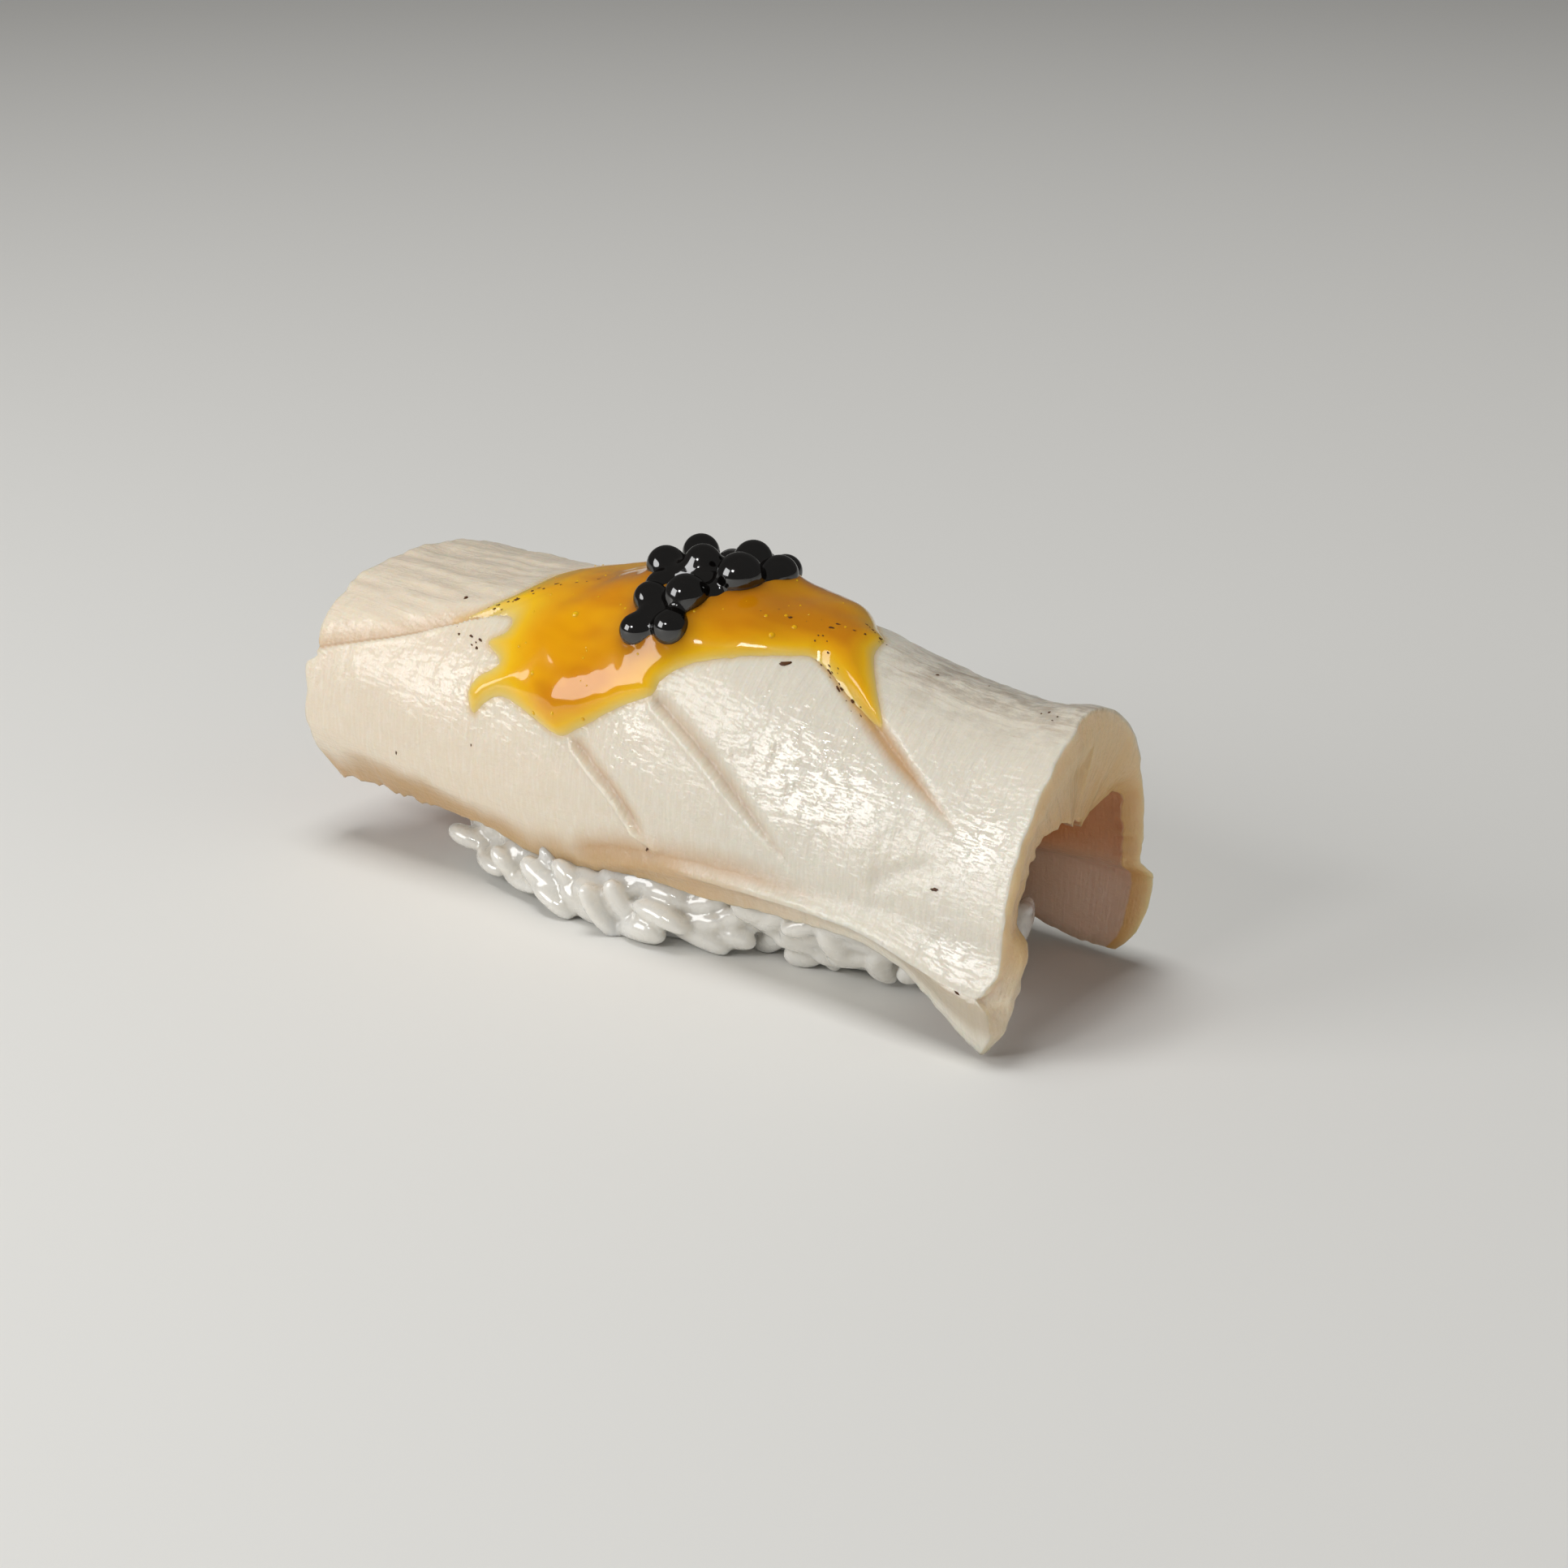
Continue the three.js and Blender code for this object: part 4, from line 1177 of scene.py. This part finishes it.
def fish_look():
    look = Look("fish_flesh", {
        "Subsurface Weight": 0.4,
        "Subsurface Radius": (1.0, 0.6, 0.35),
        "Subsurface Scale": 2.5 * MM,
        "Coat IOR": 1.7,
    })
    place = look.vector("fibre")
    crown = look.mask("crown")
    # The scorched near crown, whose grey also paints the shade of its back slope
    scorch_and_shade = look.mask("scorch_and_shade")
    wet = look.mask("wet")
    hanging = look.noise(look.stretch(place, FISH_DRAWN.hanging), 1.0, detail=4.0)
    lying = look.noise(look.stretch(place, FISH_DRAWN.lying), 1.0, detail=4.0)
    fibre = look.mix(crown, hanging, lying)
    soot = look.noise(look.stretch(place, FISH_DRAWN.soot), 1.0, detail=5.0, roughness=0.7)
    # Tan of the scores, partly painted shade in their hollows
    groove = look.spread(look.mask("groove"), *FISH_SPANS.groove)
    patterns = {
        "blotch": look.noise(look.place(), FISH_SCALES.blotch),
        "pale": look.spread(fibre, *FISH_SPANS.pale),
        "thread": look.times(look.spread(lying, *FISH_SPANS.thread), crown),
        "streak": look.times(look.spread(lying, *FISH_SPANS.streak), scorch_and_shade),
        "soot": look.times(look.spread(soot, *FISH_SPANS.soot), scorch_and_shade),
        "groove": groove,
    }
    tint = look.mix(look.mask("cool"), colour(FISH_TONES.warm), colour(FISH_TONES.cool))
    tint = look.layers(tint, FISH_LAYERS, patterns)
    cut = look.mix(look.mask("deep"), colour(FISH_CUT.rim), colour(FISH_CUT.deep))
    tint = look.mix(look.times(look.mask("cut"), FISH_CUT.cover), tint, cut)
    grain = look.noise(look.place(), FISH_SCALES.grain)
    normal = look.bump(grain, FISH_RELIEF.grain * MM, look.bump(fibre, FISH_RELIEF.fibre * MM))
    film = look.noise(look.stretch(place, FISH_DRAWN.film), 1.0, detail=1.0)
    coat = look.spread(wet, 0.0, FISH_WET.coat_full, *FISH_WET.coat)
    return look.finish({
        # The last layers paint the shade of the hollow inside and of the back wall's cut face
        "Base Color": look.layers(tint, FISH_LAST_LAYERS),
        "Roughness": look.spread(wet, 0.0, 1.0, *FISH_WET.roughness),
        "Coat Weight": look.times(coat, look.spread(groove, 0.0, 1.0, 1.0, FISH_WET.groove_coat)),
        "Coat Roughness": look.spread(wet, 0.0, FISH_WET.smooth_full, *FISH_WET.coat_roughness),
        "Normal": normal,
        "Coat Normal": look.bump(film, FISH_RELIEF.film * MM),
    })


def rice_look():
    look = Look("cooked_rice", {
        "Subsurface Weight": 1.0,
        "Subsurface Radius": (1.0, 0.95, 0.88),
        "Subsurface Scale": 2.2 * MM,
        "Coat Weight": 1.0,
        "Coat IOR": 1.65,
        "Coat Roughness": 0.05,
    })
    grain = look.noise(look.place(), RICE_LOOK.grain)
    cloud = look.noise(look.place(), RICE_LOOK.cloud, detail=2.0)
    tint = look.mix(cloud, colour(RICE_LOOK.shade), colour(RICE_LOOK.light))
    return look.finish({
        "Base Color": look.layers(tint, RICE_LAYERS, {"speck": grain}),
        "Roughness": look.spread(grain, *NOISE_SPAN, *RICE_LOOK.roughness),
        "Normal": look.bump(grain, RICE_LOOK.relief * MM),
    })


def glaze_look(name):
    look = Look(name, {
        "Roughness": 0.2,
        "Specular IOR Level": 0.12,
        "Subsurface Weight": 0.25,
        "Subsurface Radius": (1.0, 0.5, 0.1),
        "Subsurface Scale": 0.8 * MM,
        "Coat Weight": 0.85,
        "Coat Roughness": 0.03,
    })
    cloud = look.noise(look.stretch(look.place(), GLAZE_LOOK.drawn), GLAZE_LOOK.cloud, detail=2.0)
    depth = look.times(look.mask("thick"), look.spread(cloud, *NOISE_SPAN, *GLAZE_LOOK.depth))
    return look.finish({"Base Color": look.layers(look.ramp(depth, GLAZE_LOOK.stops), GLAZE_LAYERS)})


def roe_look():
    look = Look("black_roe", {
        "Specular IOR Level": 0.2,
        "Coat IOR": 1.8,
        "Coat Roughness": 0.04,
    })
    cloud = look.noise(look.place(), ROE_LOOK.cloud, detail=2.0)
    rim = look.add("ShaderNodeLayerWeight", {"Blend": 0.5}, "Facing")
    return look.finish({
        "Base Color": look.mix(cloud, colour(ROE_LOOK.dark), colour(ROE_LOOK.light)),
        "Roughness": look.spread(cloud, *NOISE_SPAN, *ROE_LOOK.roughness),
        "Coat Weight": look.spread(rim, *ROE_LOOK.rim, *ROE_LOOK.rim_coat),
    })


def char_look():
    look = Look("char", {"Roughness": 0.55})
    cloud = look.noise(look.place(), CHAR_LOOK.cloud, detail=2.0)
    return look.finish({"Base Color": look.mix(cloud, colour(CHAR_LOOK.dark), colour(CHAR_LOOK.light))})


# Stage


def facing(azimuth, elevation):
    """The way to a place at that elevation and azimuth, which runs from the front round to the near end."""
    turn, rise = math.radians(azimuth), math.radians(elevation)
    return Vector((math.sin(turn) * math.cos(rise), -math.cos(turn) * math.cos(rise), math.sin(rise)))


def aim(obj, target, direction, distance):
    obj.location = target + direction * distance
    obj.rotation_mode = "QUATERNION"
    obj.rotation_quaternion = direction.to_track_quat("Z", "Y")
    bpy.context.scene.collection.objects.link(obj)


def build_floor():
    half = FLOOR.size / 2
    corners = [(-half, -half, 0), (half, -half, 0), (half, half, 0), (-half, half, 0)]
    mesh = bpy.data.meshes.new("floor")
    mesh.from_pydata(corners, [], [(0, 1, 2, 3)])
    look = Look("floor", {"Base Color": colour(FLOOR.tone), "Roughness": FLOOR.roughness})
    mesh.materials.append(look.material)
    floor = bpy.data.objects.new("floor", mesh)
    bpy.context.scene.collection.objects.link(floor)


def build_lights():
    for name, (azimuth, elevation, distance, size, power, glint) in LIGHTS.items():
        lamp = bpy.data.lights.new(name, "AREA")
        lamp.shape = "RECTANGLE"
        lamp.size, lamp.size_y = size
        lamp.energy = power
        light = bpy.data.objects.new(name, lamp)
        light.visible_glossy = glint
        aim(light, Vector(LIGHT_TARGET) * MM, facing(azimuth, elevation), distance)
    world = bpy.data.worlds.new("studio")
    world.use_nodes = True
    background = world.node_tree.nodes["Background"]
    background.inputs["Color"].default_value = colour(WORLD.tone)
    background.inputs["Strength"].default_value = WORLD.strength
    bpy.context.scene.world = world
    bpy.context.scene.view_settings.view_transform = "Standard"


def build_camera():
    lens = bpy.data.cameras.new("camera")
    lens.sensor_width = SENSOR
    lens.lens = SENSOR * CAMERA.focal
    lens.clip_start, lens.clip_end = CLIP
    camera = bpy.data.objects.new("camera", lens)
    direction = facing(CAMERA.azimuth, CAMERA.elevation)
    aim(camera, Vector(CAMERA.target) * MM, direction, CAMERA.distance * MM)
    bpy.context.scene.camera = camera


build_fish(fish_look())
build_rice(rice_look())
build_glaze(glaze_look("amber_glaze"))
build_bubbles(glaze_look("amber_bubbles"))
build_roe(roe_look())
build_flecks(char_look())
build_floor()
build_lights()
build_camera()
